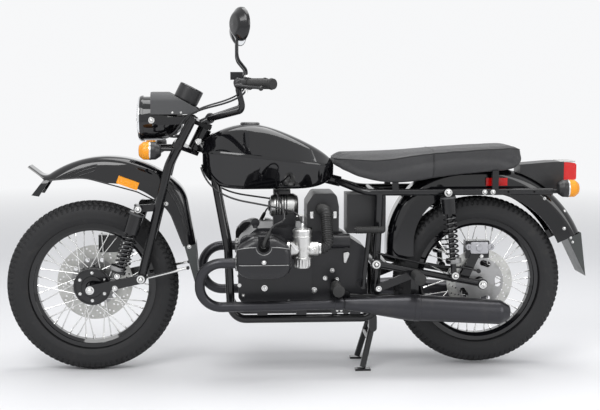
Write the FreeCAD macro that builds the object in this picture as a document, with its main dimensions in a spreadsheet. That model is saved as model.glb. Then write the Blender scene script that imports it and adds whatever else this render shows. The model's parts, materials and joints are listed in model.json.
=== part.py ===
import FreeCAD, Part
import math
import os
import Sketcher

# Solo motorcycle with a flat twin engine, standing on its centre stand.
# Millimetres. The front points to -X, the rider's left side to -Y, and z = 0 is the floor.
# The origin is on the floor, below the middle of the whole length.

V = FreeCAD.Vector

SIZES = {
    # General fits
    "fit_gap": 0.3,
    "overrun": 6,
    # Wheels with 4.00-18 tyres on spoked rims
    "front_reach": 795,
    "rear_reach": 705,
    "rear_lift": 9,
    "tyre_radius": 330,
    "tyre_half": 54,
    "tyre_wide_radius": 284,
    "tread_half": 41,
    "shoulder_radius": 314,
    "tyre_side_bend": 24,
    "shoulder_bend": 18,
    "bead_radius": 229,
    "bead_half": 27,
    "flange_radius": 243,
    "rim_half": 31,
    "rim_wall": 3,
    "well_radius": 214,
    "well_half": 11,
    "hub_radius": 33,
    "hub_flange_radius": 60,
    "hub_flange_place": 32,
    "hub_flange_thick": 7,
    "hub_cover_radius": 72,
    "hub_cover_thick": 12,
    "hub_cover_corner": 4,
    "hub_root_bend": 5,
    "hub_boss_radius": 46,
    "spoke_radius": 2,
    "spoke_seat_radius": 56,
    "spoke_end_gap": 1,
    "spoke_foot": 8,
    "spoke_lean": 38,
    "spoke_sets": 10,
    "axle_radius": 10,
    "disc_thick": 5,
    "front_disc_radius": 147,
    "front_disc_place": 58,
    "rear_disc_radius": 129,
    "rear_disc_place": 66,
    "pad_depth": 34,
    "drill_radius": 3.5,
    "drill_sets": 20,
    "drill_turn": 5,
    "drill_pitch": 11,
    "front_window_radius": 9,
    "rear_window_radius": 12,
    "front_window_place": 92,
    "rear_window_place": 74,
    "rear_window_turn": 15,
    "caliper_length": 92,
    "caliper_half": 22,
    # Steering head and fork
    "rake": 27,
    "head_x": -399,
    "head_z": 855,
    "head_length": 90,
    "head_radius": 27,
    "stem_radius": 13,
    "stem_nut_radius": 20,
    "stem_rise": 14,
    "yoke_reach": 60,
    "yoke_thick": 16,
    "yoke_gap": 2,
    "yoke_margin": 24,
    "yoke_back": 22,
    "fork_half": 92,
    "fork_tube_radius": 17,
    "fork_top_rise": 4,
    "fork_knee_drop": 92,
    "fork_bend": 160,
    "link_run": 192,
    "link_rise": 40,
    "link_radius": 17,
    "link_thick": 12,
    "link_gap": 3,
    "link_bolt_share": 0.51,
    "pivot_radius": 20,
    "brace_share": 0.42,
    "brace_radius": 12,
    "shock_bracket_share": 0.37,
    "guard_mount_share": 0.2,
    "shock_top_ahead": 6,
    "shock_top_rise": 267,
    "shock_foot_ahead": 88,
    "shock_foot_rise": 14,
    # Shock absorbers
    "eye_radius": 14,
    "eye_half": 12,
    "pin_radius": 7,
    "shroud_radius": 28,
    "damper_radius": 11,
    "spring_radius": 23,
    "spring_wire": 3.5,
    "cup_thick": 10,
    "front_shroud": 82,
    "front_spring_length": 148,
    "front_spring_coils": 9,
    "rear_shock_y": 148,
    "rear_shock_x": 561,
    "rear_shock_z": 697,
    "rear_shock_foot_share": 0.72,
    "rear_shock_foot_rise": 15,
    "rear_shroud": 66,
    "rear_spring_length": 178,
    "rear_spring_coils": 9,
    # Mudguards
    "guard_half": 70,
    "guard_wall": 2.5,
    "guard_skirt": 100,
    "guard_corner": 40,
    "front_guard_radius": 385,
    "front_guard_tail_bend": 128,
    "front_lip_bend": 36,
    "lip_tip_run": 229,
    "lip_tip_rise": 467,
    "lip_dip_run": 172,
    "lip_dip_rise": 423,
    "lip_skirt": 8,
    "lip_plate_run": 218,
    "lip_plate_rise": 357,
    "lip_plate_width": 28,
    "crown_front_run": 40,
    "crown_front_rise": 510,
    "crown_back_run": 230,
    "crown_back_rise": 491,
    "crown_tail_run": 364,
    "crown_tail_rise": 369,
    "crown_end_run": 399,
    "crown_end_rise": 165,
    "skirt_start_run": 150,
    "skirt_start_rise": 414,
    "skirt_start_bend": 20,
    "skirt_high_run": 20,
    "skirt_high_rise": 424,
    "skirt_high_bend": 200,
    "skirt_back_run": 180,
    "skirt_back_rise": 368,
    "skirt_back_bend": 120,
    "skirt_tail_run": 295,
    "skirt_tail_rise": 310,
    "skirt_end_run": 350,
    "rear_guard_rise": 451,
    "rear_guard_ahead": 360,
    "rear_guard_foot_rise": 101,
    "rear_guard_corner_run": 279,
    "rear_guard_radius": 440,
    "rear_guard_front_bend": 300,
    "rear_guard_end_run": 398,
    "rear_guard_end_rise": 190,
    "flap_wall": 3,
    "front_flap_depth": 44,
    "front_flap_tip_x": -379,
    "front_flap_tip_z": 268,
    "rear_flap_depth": 58,
    "rear_flap_tip_run": 420,
    "rear_flap_tip_rise": 18,
    "guard_stay_radius": 5,
    "guard_stay_x": -427,
    "guard_stay_z": 405,
    # Headlamp group
    "lamp_x": -590,
    "lamp_z": 974,
    "lamp_radius": 84,
    "lamp_length": 148,
    "lamp_rim": 14,
    "lamp_back_bend": 30,
    "lamp_side_bend": 60,
    "lamp_rim_corner": 5,
    "lens_corner": 3,
    "lamp_rim_step": 4,
    "lens_dome": 16,
    "lens_edge": 6,
    "ear_thick": 5,
    "cowl_half": 90,
    "cowl_front": 30,
    "cowl_top": 94,
    "cowl_tail": 222,
    "cowl_foot": 190,
    "cowl_high": 101,
    "cowl_tail_rise": 30,
    "cowl_top_corner": 12,
    "cowl_tail_corner": 10,
    "cowl_corner": 34,
    "cowl_rise": 18,
    "gauge_radius": 48,
    "gauge_length": 72,
    "gauge_foot_bend": 6,
    "gauge_rim_bend": 4,
    "gauge_tilt": 27,
    "gauge_x": -407,
    "gauge_z": 1090,
    # Handlebar and controls
    "bar_radius": 11,
    "bar_grip_bend": 40,
    "bar_rise_bend": 38,
    "bar_middle_bend": 30,
    "bar_clamp_y": 45,
    "bar_clamp_radius": 19,
    "bar_clamp_up": 34,
    "bar_low_x": -212,
    "bar_low_y": 232,
    "bar_low_z": 1012,
    "bar_high_x": -236,
    "bar_high_y": 262,
    "grip_end_x": -113,
    "grip_end_y": 400,
    "grip_z": 1108,
    "grip_radius": 17,
    "grip_length": 120,
    "perch_radius": 19,
    "perch_length": 26,
    "lever_radius": 5,
    "lever_bend": 12,
    "lever_reach": 48,
    "tank_box": 40,
    "mirror_x": -217,
    "mirror_y": 350,
    "mirror_z": 1318,
    "mirror_radius": 60,
    "mirror_depth": 36,
    "mirror_turn": 28,
    "mirror_rod": 5,
    "mirror_foot_bend": 20,
    "mirror_stem_bend": 40,
    "mirror_back_bend": 20,
    "mirror_edge_bend": 14,
    # Lamps and reflectors
    "signal_radius": 33,
    "signal_back_bend": 12,
    "signal_bend": 14,
    "signal_lens_bend": 10,
    "signal_body": 40,
    "signal_lens": 42,
    "signal_stalk": 8,
    "stalk_bend": 12,
    "front_signal_x": -556,
    "front_signal_y": 190,
    "front_signal_z": 862,
    "rear_signal_x": 1022,
    "rear_signal_y": 150,
    "rear_signal_z": 710,
    "reflector_length": 82,
    "reflector_height": 30,
    "reflector_thick": 12,
    "front_reflector_x": -650,
    "front_reflector_z": 733,
    "front_reflector_lean": 20,
    "rear_reflector_x": 764,
    "rear_reflector_z": 730,
    "tail_lamp_x": 1034,
    "tail_lamp_length": 50,
    "tail_lamp_low": 734,
    "tail_lamp_high": 804,
    "tail_lamp_half": 52,
    "tail_bracket_x": 862,
    "tail_bracket_foot": 20,
    "tail_bracket_rise": 4,
    "tail_hood_length": 46,
    "tail_hood_bend": 14,
    "tail_chin_back": 40,
    "tail_chin_drop": 50,
    "tail_lens_slope": 6,
    "tail_lens_bend": 10,
    "tail_lens_corner": 6,
    # Frame
    "frame_radius": 16,
    "backbone_radius": 20,
    "cradle_half": 86,
    "cradle_z": 205,
    "cradle_front_x": -262,
    "cradle_back_x": 300,
    "frame_bend": 60,
    "cradle_bend": 120,
    "cradle_lean": 10,
    "pivot_post_step": 4,
    "rail_post_step": 12,
    "rail_bend": 90,
    "rail_bend_back": 40,
    "rail_start_back": 15,
    "rail_start_rise": 4,
    "tail_lug_back": 44,
    "front_cross_rise": 60,
    "low_cross_back": 70,
    "rear_cross_back": 10,
    "neck_bend_up": 4,
    "neck_bend_back": 68,
    "rail_half": 112,
    "rail_radius": 13,
    "cross_rail_radius": 11.5,
    "rail_z": 695,
    "carrier_bolt_radius": 4.2,
    "carrier_bolt_x": 800,
    "carrier_bolt_pitch": 100,
    "rail_end_x": 974,
    "backbone_x": 165,
    "backbone_z": 727,
    # Swing arm
    "pivot_x": 293,
    "pivot_z": 420,
    "pivot_face": 104.9,
    "arm_half": 118,
    "arm_radius": 13,
    "arm_boss": 20,
    "brace_x": 332,
    "drive_radius": 92,
    "drive_face_depth": 18,
    "drive_back_depth": 34,
    "drive_face_bend": 8,
    "drive_edge_bend": 10,
    "drive_back_bend": 14,
    "drive_hub_radius": 58,
    "drive_inner": 48,
    # Engine
    "crank_x": -142,
    "crank_z": 474,
    "case_half": 104,
    "case_front": 92,
    "case_back": 190,
    "case_nose_low": 60,
    "case_nose_drop": 60,
    "case_top_front": 20,
    "sump_back": 120,
    "sump_back_rise": 20,
    "sump_front": 40,
    "case_bend": 20,
    "case_nose_bend": 50,
    "case_top_bend": 40,
    "sump_front_bend": 40,
    "case_low": 232,
    "case_high": 560,
        "barrel_radius": 58,
    "fin_radius": 78,
    "fin_count": 7,
    "fin_share": 0.42,
    "foot_length": 40,
    "foot_width": 30,
    "barrel_length": 84,
    "head_half_x": 86,
    "head_half_z": 74,
    "head_thick": 74,
    "head_fins": 4,
    "rocker_half_x": 100,
    "rocker_half_z": 76,
    "rocker_depth": 66,
    "rocker_corner": 46,
    "plug_rise": 46,
    "plug_room": 21,
    "plug_collar": 26,
    "plug_radius": 9,
    "rocker_band_drop": 21,
    "rocker_band": 5,
    "rocker_band_proud": 2.5,
    "rocker_boss_radius": 11,
    "rocker_fillet": 26,
    "gearbox_length": 212,
    "gearbox_bend": 30,
    "gearbox_tail_drop": 70,
    "gearbox_tail_rise": 30,
    "gearbox_half": 82,
    "gearbox_low": 245,
    "gearbox_high": 545,
    "alternator_radius": 48,
    "alternator_bend": 8,
    "alternator_length": 108,
    "alternator_x": -54,
    "alternator_z": 634,
    "airbox_x": 30,
    "airbox_length": 122,
    "airbox_bend": 20,
    "airbox_front_drop": 40,
    "airbox_front_slope": 26,
    "airbox_back_slope": 10,
    "airbox_back_drop": 50,
    "airbox_half": 95,
    "airbox_high": 690,
    "carb_y": 226,
    "carb_z": 498,
    "carb_throat": 26,
    "carb_length": 118,
    "carb_dome": 34,
    "carb_dome_rise": 70,
    "carb_bowl": 29,
    "carb_bowl_drop": 70,
    "hose_radius": 19,
    "hose_bend": 30,
    "hose_drop": 60,
    "hose_reach": 38,
    "hose_rise_place": 34,
    "hose_lean": 60,
    "hose_end_place": 20,
    "starter_radius": 28,
    "starter_length": 76,
    "starter_x": 116,
    "starter_z": 508,
    # Exhaust
    "pipe_radius": 19,
    "pipe_front_x": -378,
    "pipe_port_z": 446,
    "pipe_port_y": 228,
    "pipe_low_y": 190,
    "pipe_low_z": 272,
    "pipe_bend": 82,
    "silencer_x": 164,
    "silencer_z": 280,
    "silencer_end_x": 796,
    "silencer_end_z": 240,
    "silencer_radius": 50,
    "silencer_cone": 246,
    "silencer_mouth_bend": 60,
    "silencer_cone_bend": 200,
    "silencer_tail_bend": 30,
    "silencer_tip_bend": 8,
    "silencer_step": 2.1,
    "silencer_lip": 36,
    "caliper_back": 64,
    "caliper_lift": 8,
    "caliper_foot": 24,
    "rear_caliper_back": 14,
    "rear_caliper_foot": 66,
    "rear_caliper_rise": 13,
    # Seat, tank and boxes
    "tank_high": 948,
    "cap_x": -185,
    "cap_z": 941,
    "cap_radius": 36,
    "cap_height": 18,
    "cap_foot_bend": 3,
    "cap_rim_bend": 4,
    "cap_top_bend": 6,
    "seat_low": 727,
    "seat_foot_bend": 12,
    "seat_edge_bend": 18,
    "seat_channel_drop": 60,
    "seat_high": 873,
    "rest_front_x": 353,
    "rest_rear_x": 738,
    "rest_front_top": 733,
    "rest_rear_top": 777,
    "rest_length": 24,
    "rest_width": 20,
    "cable_radius": 3.5,
    "cable_side": 20,
    "tank_front": -367,
    "tank_back": 134,
    "tank_low": 706,
    "tank_half": 138,
    "tunnel_half": 30,
    "tunnel_end": 20,
    "head_room": 40,
    "seat_front": 130,
    "seat_back": 858,
    "seat_half": 138,
    "battery_x": 186,
    "battery_length": 150,
    "battery_bend": 12,
    "battery_half": 66,
    "battery_low": 532,
    # Foot controls and stands
    "peg_radius": 15,
    "peg_bar_radius": 8,
    "peg_start": 150,
    "pillion_peg_step": 10,
    "peg_end": 278,
    "rider_peg_x": 136,
    "rider_peg_z": 344,
    "pillion_peg_x": 440,
    "pillion_peg_z": 385,
    "hanger_thick": 8,
    "hanger_rise": 125,
    "kick_x": 240,
    "kick_z": 338,
    "kick_y": 152,
    "kick_top_x": 262,
    "kick_top_z": 556,
    "kick_radius": 9,
    "kick_pedal": 112,
    "stand_pivot_x": 286,
    "stand_pivot_z": 165,
    "stand_foot_x": 246,
    "stand_foot_half": 98,
    "stand_radius": 12,
    "stand_lug_half": 62,
    "stand_cross_share": 0.3,
    "foot_pad": 15,
    "side_pivot_x": 180,
    "side_pivot_z": 300,
    "side_pivot_y": 118,
    "side_length": 262,
    "side_radius": 8,
}


class Size(float):
    """A number in millimetres or degrees that remembers the formula it comes from."""

    def __new__(cls, value, formula):
        made = super().__new__(cls, value)
        made.formula = formula
        return made

    def __add__(self, other):
        return Size(float(self) + float(other), f"({self.formula} + {words(other)})")

    def __radd__(self, other):
        return Size(float(other) + float(self), f"({words(other)} + {self.formula})")

    def __sub__(self, other):
        return Size(float(self) - float(other), f"({self.formula} - {words(other)})")

    def __rsub__(self, other):
        return Size(float(other) - float(self), f"({words(other)} - {self.formula})")

    def __mul__(self, other):
        return Size(float(self) * float(other), f"({self.formula} * {words(other)})")

    def __rmul__(self, other):
        return Size(float(other) * float(self), f"({words(other)} * {self.formula})")

    def __truediv__(self, other):
        return Size(float(self) / float(other), f"({self.formula} / {words(other)})")

    def __neg__(self):
        return Size(-float(self), f"(0 - {self.formula})")


def words(number):
    """The formula of a size, or a plain number as text."""
    return number.formula if isinstance(number, Size) else repr(float(number))


def sine(angle):
    """Sine of an angle in degrees."""
    return Size(math.sin(math.radians(angle)), f"sin({words(angle)} * 1 deg)")


def cosine(angle):
    """Cosine of an angle in degrees."""
    return Size(math.cos(math.radians(angle)), f"cos({words(angle)} * 1 deg)")


class Book:
    """The driving dimensions by name."""


doc = FreeCAD.newDocument("Motorcycle")
sheet = doc.addObject("Spreadsheet::Sheet", "Sizes")
s = Book()
for row, (name, value) in enumerate(SIZES.items(), start=1):
    sheet.set(f"A{row}", name)
    sheet.set(f"B{row}", str(value))
    sheet.setAlias(f"B{row}", name)
    setattr(s, name, Size(value, "Sizes." + name))
doc.recompute()

ALONG_X = FreeCAD.Rotation(V(0, 1, 0), 90)
ALONG_Y = FreeCAD.Rotation(V(1, 0, 0), -90)
UPRIGHT = FreeCAD.Rotation()
nodes = {}


def vector(point):
    return V(*[float(value) for value in point])


def tie(thing, name, value):
    """Set a property, and bind it to the sheet where it comes from there."""
    setattr(thing, name, float(value))
    if isinstance(value, Size):
        thing.setExpression(name, value.formula)


def put(thing, at=(0, 0, 0), turn=UPRIGHT):
    """Place an object, with its position bound to the sheet."""
    thing.Placement = FreeCAD.Placement(vector(at), turn)
    for axis, value in zip("xyz", at):
        if isinstance(value, Size):
            thing.setExpression(".Placement.Base." + axis, value.formula)
    return thing


def root_sum(*parts):
    """Square root of the sum of squares, as a size."""
    total = math.sqrt(sum(float(part) ** 2 for part in parts))
    return Size(total, "sqrt(" + " + ".join(f"({words(part)})^2" for part in parts) + ")")


def minus(first, second):
    return tuple(a - b for a, b in zip(first, second))


def plus(first, second):
    return tuple(a + b for a, b in zip(first, second))


def along(start, end, share):
    """The point at a share of the way from start to end."""
    return tuple(a + (b - a) * share for a, b in zip(start, end))


def from_start(start, end, distance):
    """The point at a distance from start towards end."""
    span = root_sum(*minus(end, start))
    return tuple(a + (b - a) * distance / span for a, b in zip(start, end))


def flip(point):
    """The same place on the other side of the machine."""
    return (point[0], -point[1], point[2])


def cylinder(label, radius, height, at=(0, 0, 0), turn=UPRIGHT):
    thing = doc.addObject("Part::Cylinder", label)
    tie(thing, "Radius", radius)
    tie(thing, "Height", height)
    return put(thing, at, turn)


def rod(label, start, end, radius):
    """A round bar from one point to another."""
    way = minus(end, start)
    turn = FreeCAD.Rotation(V(0, 0, 1), vector(way))
    return cylinder(label, radius, root_sum(*way), start, turn)


def box(label, lengths, corner, turn=UPRIGHT):
    thing = doc.addObject("Part::Box", label)
    for name, value in zip(("Length", "Width", "Height"), lengths):
        tie(thing, name, value)
    return put(thing, corner, turn)


def group(label, kind, pieces):
    thing = doc.addObject(kind, label)
    if kind == "Part::Compound":
        thing.Links = pieces
    else:
        thing.Shapes = pieces
        thing.Refine = False
    return thing


def joined(label, *pieces):
    return group(label, "Part::MultiFuse", list(pieces))


def apart(label, *pieces):
    return group(label, "Part::Compound", list(pieces))


def cut(label, base, tool):
    thing = doc.addObject("Part::Cut", label)
    thing.Base = base
    thing.Tool = tool
    return thing


def mirrored(piece):
    """The same piece on the other side of the machine."""
    thing = doc.addObject("Part::Mirroring", piece.Label + "_right")
    thing.Source = piece
    thing.Base = V(0, 0, 0)
    thing.Normal = V(0, 1, 0)
    return thing


def both(label, piece):
    """A piece and its mirror image, which don't touch."""
    return apart(label, piece, mirrored(piece))


def hold(sketch, geometry, point, axis, value):
    """Dimension a sketch point from the sketch's origin."""
    if float(value) == 0.0 and not isinstance(value, Size):
        line = -2 if axis == "X" else -1
        sketch.addConstraint(Sketcher.Constraint("PointOnObject", geometry, point, line))
        return
    fixed = Sketcher.Constraint("Distance" + axis, -1, 1, geometry, point, float(value))
    index = sketch.addConstraint(fixed)
    if isinstance(value, Size):
        sketch.setExpression(f"Constraints[{index}]", value.formula)


def corner_arc(before, here, after, radius):
    """Start, middle, end and centre of the arc that rounds a corner."""
    back = (before - here).normalize()
    ahead = (after - here).normalize()
    half = math.acos(max(-1.0, min(1.0, back.dot(ahead)))) / 2
    reach = float(radius) / math.tan(half)
    centre = here + (back + ahead).normalize() * (float(radius) / math.sin(half))
    middle = centre + (here - centre).normalize() * float(radius)
    return here + back * reach, middle, here + ahead * reach, centre


def draw(sketch, corners, closed=True):
    """Lines through corners (x, y) or (x, y, rounding), with their sizes bound to the sheet."""
    points = [V(float(corner[0]), float(corner[1]), 0) for corner in corners]
    count = len(corners)
    rounds = {}
    for index, corner in enumerate(corners):
        if len(corner) == 3:
            after = points[(index + 1) % count]
            rounds[index] = corner_arc(points[index - 1], points[index], after, corner[2])
    leave = [rounds[index][2] if index in rounds else points[index] for index in range(count)]
    reach = [rounds[index][0] if index in rounds else points[index] for index in range(count)]
    spans = range(count) if closed else range(count - 1)
    lines = [sketch.addGeometry(Part.LineSegment(leave[k], reach[(k + 1) % count])) for k in spans]
    arcs, firsts = {}, {}
    for index, (near, middle, far, centre) in rounds.items():
        firsts[index] = 1 if (near - centre).cross(far - centre).z > 0 else 2
        start, end = (near, far) if firsts[index] == 1 else (far, near)
        angles = [math.atan2(point.y - centre.y, point.x - centre.x) for point in (start, end)]
        if angles[1] < angles[0]:
            angles[1] += math.tau
        circle = Part.Circle(centre, V(0, 0, 1), float(corners[index][2]))
        arcs[index] = sketch.addGeometry(Part.ArcOfCircle(circle, *angles))
    for index, corner in enumerate(corners):
        if index in arcs:
            arc = arcs[index]
            first = firsts[index]
            before, after = lines[index - 1], lines[index]
            sketch.addConstraint(Sketcher.Constraint("Tangent", before, 2, arc, first))
            sketch.addConstraint(Sketcher.Constraint("Tangent", arc, 3 - first, after, 1))
            number = sketch.addConstraint(Sketcher.Constraint("Radius", arc, float(corner[2])))
            if isinstance(corner[2], Size):
                sketch.setExpression(f"Constraints[{number}]", corner[2].formula)
            mark = sketch.addGeometry(Part.Point(points[index]), True)
            sketch.addConstraint(Sketcher.Constraint("PointOnObject", mark, 1, before))
            sketch.addConstraint(Sketcher.Constraint("PointOnObject", mark, 1, after))
            hold(sketch, mark, 1, "X", corner[0])
            hold(sketch, mark, 1, "Y", corner[1])
        elif closed or index not in (0, count - 1):
            before, after = lines[index - 1], lines[index]
            sketch.addConstraint(Sketcher.Constraint("Coincident", before, 2, after, 1))
            hold(sketch, after, 1, "X", corner[0])
            hold(sketch, after, 1, "Y", corner[1])
        else:
            line, end = (lines[0], 1) if index == 0 else (lines[-1], 2)
            hold(sketch, line, end, "X", corner[0])
            hold(sketch, line, end, "Y", corner[1])


def body_sketch(body, role, name, lift=0):
    """An empty sketch on one of a body's own planes."""
    plane = next(item for item in body.Origin.OriginFeatures if item.Role == role)
    sketch = body.newObject("Sketcher::SketchObject", name)
    sketch.AttachmentSupport = [(plane, "")]
    sketch.MapMode = "FlatFace"
    sketch.AttachmentOffset = FreeCAD.Placement(V(0, 0, float(lift)), UPRIGHT)
    if isinstance(lift, Size):
        sketch.setExpression(".AttachmentOffset.Base.z", lift.formula)
    return sketch


def turned(label, corners, at=(0, 0, 0), turn=UPRIGHT):
    """A solid turned about the Z axis from corners (radius, height, rounding)."""
    body = doc.addObject("PartDesign::Body", label)
    sketch = body_sketch(body, "XZ_Plane", label + "_outline")
    draw(sketch, corners)
    spun = body.newObject("PartDesign::Revolution", label + "_turned")
    spun.Profile = sketch
    spun.ReferenceAxis = (sketch, ["V_Axis"])
    spun.Angle = 360
    return put(body, at, turn)


def slab(label, corners, thickness, plane="XZ_Plane", middle=0, fillet=None):
    """A padded outline, half its thickness to each side of its plane."""
    body = doc.addObject("PartDesign::Body", label)
    sketch = body_sketch(body, plane, label + "_outline", middle)
    draw(sketch, corners)
    pad = body.newObject("PartDesign::Pad", label + "_pad")
    pad.Profile = sketch
    pad.SideType = "Symmetric"
    tie(pad, "Length", thickness)
    if fillet is not None:
        radius, chosen = fillet
        doc.recompute()
        edges = [f"Edge{k}" for k, edge in enumerate(pad.Shape.Edges, start=1) if chosen(edge)]
        rounded = body.newObject("PartDesign::Fillet", label + "_rounded")
        rounded.Base = (pad, edges)
        tie(rounded, "Radius", radius)
    return body


def lofted(label, plane, sections, ruled=False):
    """A solid through outlines at several stations along a plane's normal."""
    body = doc.addObject("PartDesign::Body", label)
    sketches = []
    for number, (station, corners) in enumerate(sections):
        sketch = body_sketch(body, plane, f"{label}_section_{number}", station)
        draw(sketch, corners)
        sketches.append(sketch)
    loft = body.newObject("PartDesign::AdditiveLoft", label + "_loft")
    loft.Profile = sketches[0]
    loft.Sections = sketches[1:]
    loft.Ruled = ruled
    return body


def bend_line(points, radii):
    """A wire of straight runs joined by tangent arcs."""
    places = [vector(point) for point in points]
    edges = []
    last = places[0]
    for index in range(1, len(places) - 1):
        arc = corner_arc(places[index - 1], places[index], places[index + 1], radii[index - 1])
        if last.distanceToPoint(arc[0]) > 1e-6:
            edges.append(Part.LineSegment(last, arc[0]).toShape())
        edges.append(Part.Arc(*arc[:3]).toShape())
        last = arc[2]
    edges.append(Part.LineSegment(last, places[-1]).toShape())
    return Part.Wire(edges)


def bent(label, points, radii, radius):
    """A round tube or bar along straight runs and tangent arcs."""
    if not isinstance(radii, (list, tuple)):
        radii = [radii] * (len(points) - 2)
    spine = doc.addObject("Part::Feature", label + "_line")
    spine.Shape = bend_line(points, radii)
    ring = doc.addObject("Part::Circle", label + "_ring")
    tie(ring, "Radius", radius)
    first = vector(points[1]) - vector(points[0])
    put(ring, points[0], FreeCAD.Rotation(V(0, 0, 1), first))
    sweep = doc.addObject("Part::Sweep", label)
    sweep.Sections = [ring]
    sweep.Spine = (spine, [])
    sweep.Solid = True
    sweep.Frenet = False
    return sweep


def slot(label, start, end, radius, thickness, side):
    """A flat link with round ends in an upright plane: from start to end, centred at y = side."""
    way = root_sum(end[0] - start[0], end[2] - start[2])
    body = doc.addObject("PartDesign::Body", label)
    sketch = body_sketch(body, "XZ_Plane", label + "_outline")
    r = float(radius)
    first = Part.ArcOfCircle(Part.Circle(V(0, 0, 0), V(0, 0, 1), r), math.pi / 2, 3 * math.pi / 2)
    last = Part.ArcOfCircle(Part.Circle(V(float(way), 0, 0), V(0, 0, 1), r), -math.pi / 2, math.pi / 2)
    a = sketch.addGeometry(first)
    b = sketch.addGeometry(last)
    low = sketch.addGeometry(Part.LineSegment(V(0, -r, 0), V(float(way), -r, 0)))
    top = sketch.addGeometry(Part.LineSegment(V(float(way), r, 0), V(0, r, 0)))
    sketch.addConstraint(Sketcher.Constraint("Tangent", a, 2, low, 1))
    sketch.addConstraint(Sketcher.Constraint("Tangent", low, 2, b, 1))
    sketch.addConstraint(Sketcher.Constraint("Tangent", b, 2, top, 1))
    sketch.addConstraint(Sketcher.Constraint("Tangent", top, 2, a, 1))
    sketch.addConstraint(Sketcher.Constraint("Coincident", a, 3, -1, 1))
    sketch.addConstraint(Sketcher.Constraint("PointOnObject", b, 3, -1))
    hold(sketch, b, 3, "X", way)
    number = sketch.addConstraint(Sketcher.Constraint("Radius", a, r))
    if isinstance(radius, Size):
        sketch.setExpression(f"Constraints[{number}]", radius.formula)
    pad = body.newObject("PartDesign::Pad", label + "_pad")
    pad.Profile = sketch
    pad.SideType = "Symmetric"
    tie(pad, "Length", thickness)
    lean = math.degrees(math.atan2(float(end[2] - start[2]), float(end[0] - start[0])))
    return put(body, (start[0], side, start[2]), FreeCAD.Rotation(V(0, 1, 0), -lean))


def keep(node, thing):
    """Note an object as one node of the machine."""
    thing.Label = node
    nodes[node] = thing
    return thing


# Places that more than one piece uses
gap = s.fit_gap
front_axle = (-s.front_reach, 0, s.tyre_radius)
rear_axle = (s.rear_reach, 0, s.tyre_radius + s.rear_lift)
head = (s.head_x, 0, s.head_z)
rake_turn = FreeCAD.Rotation(V(0, 1, 0), float(s.rake))
TO_FRONT = FreeCAD.Rotation(V(0, 1, 0), -90)
TO_LEFT = FreeCAD.Rotation(V(1, 0, 0), 90)


def on_head(up, ahead=0, side=0):
    """A place measured from the foot of the steering head, along it and in front of it."""
    run = up * sine(s.rake) - ahead * cosine(s.rake)
    rise = up * cosine(s.rake) + ahead * sine(s.rake)
    return (head[0] + run, side, head[2] + rise)


fork_top = on_head(s.head_length + s.yoke_gap + s.yoke_thick + s.fork_top_rise, s.yoke_reach, -s.fork_half)
fork_knee = on_head(-s.fork_knee_drop, s.yoke_reach, -s.fork_half)
fork_foot = (front_axle[0] + s.link_run, -s.fork_half, front_axle[2] + s.link_rise)
link_y = s.fork_half + s.fork_tube_radius + s.link_gap + s.link_thick / 2
shock_top = (fork_foot[0] - s.shock_top_ahead, -link_y, fork_foot[2] + s.shock_top_rise)
shock_foot = (fork_foot[0] - s.shock_foot_ahead, -link_y, fork_foot[2] + s.shock_foot_rise)
lamp_pivot = (s.lamp_x + s.lamp_length * 0.42, 0, s.lamp_z - s.lamp_radius * 0.1)
bar_clamp = on_head(s.head_length + s.yoke_gap + s.yoke_thick / 2 + s.bar_clamp_up)
front_signal_base = (s.front_signal_x + s.signal_body * 0.25, -s.fork_half, s.front_signal_z)
gauge_turn = FreeCAD.Rotation(V(0, 1, 0), float(s.gauge_tilt))
gauge_foot = (s.gauge_x - s.gauge_length * sine(s.gauge_tilt), 0,
              s.gauge_z - s.gauge_length * cosine(s.gauge_tilt))
bar_half = [
    (s.grip_end_x, -s.grip_end_y, s.grip_z),
    (s.bar_high_x, -s.bar_high_y, s.grip_z),
    (s.bar_low_x, -s.bar_low_y, s.bar_low_z),
    (bar_clamp[0], -s.bar_clamp_y * 1.6, bar_clamp[2]),
]
bar_points = bar_half + [flip(point) for point in reversed(bar_half)]
arm_pivot = (s.pivot_x, -s.arm_half, s.pivot_z)
arm_end = (rear_axle[0], -s.arm_half, rear_axle[2])
arm_mount = along(arm_pivot, arm_end, s.rear_shock_foot_share)
rear_shock_top = (s.rear_shock_x, -s.rear_shock_y, s.rear_shock_z)
rear_shock_foot = (arm_mount[0], -s.rear_shock_y, arm_mount[2] + s.rear_shock_foot_rise)
rest_places = ((s.rest_front_x, s.rest_front_top), (s.rest_rear_x, s.rest_rear_top))
rear_guard_top = rear_axle[2] + s.rear_guard_rise
rear_guard_front = rear_axle[0] - s.rear_guard_ahead
rear_guard_corner = rear_axle[0] + s.rear_guard_corner_run
rear_guard_end = (rear_axle[0] + s.rear_guard_end_run, rear_axle[2] + s.rear_guard_end_rise)
plug_z = s.crank_z + s.plug_rise
neck = on_head(s.head_length * 0.35)
neck_back = on_head(s.neck_bend_up, -s.neck_bend_back)
cradle_start = [
    (neck[0], -s.head_radius * 0.45, neck[2]),
    (neck_back[0], -s.head_radius * 1.5, neck_back[2]),
    (s.cradle_front_x - s.cradle_lean, -s.cradle_half, s.crank_z),
]
hanger_y = s.pipe_low_y - s.silencer_radius - gap - s.hanger_thick / 2


def tyre(node, axle):
    """A tyre, round in section, seated between the rim's flanges."""
    foot = s.bead_half - gap
    corners = [
        (s.bead_radius + gap, -foot),
        (s.flange_radius + s.rim_wall, -foot),
        (s.tyre_wide_radius, -s.tyre_half, s.tyre_side_bend),
        (s.shoulder_radius, -s.tyre_half * 0.93, s.shoulder_bend),
        (s.tyre_radius, -s.tread_half * 0.6, s.tyre_side_bend),
        (s.tyre_radius, s.tread_half * 0.6, s.tyre_side_bend),
        (s.shoulder_radius, s.tyre_half * 0.93, s.shoulder_bend),
        (s.tyre_wide_radius, s.tyre_half, s.tyre_side_bend),
        (s.flange_radius + s.rim_wall, foot),
        (s.bead_radius + gap, foot),
    ]
    keep(node, turned(node, corners, axle, ALONG_Y))


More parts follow.
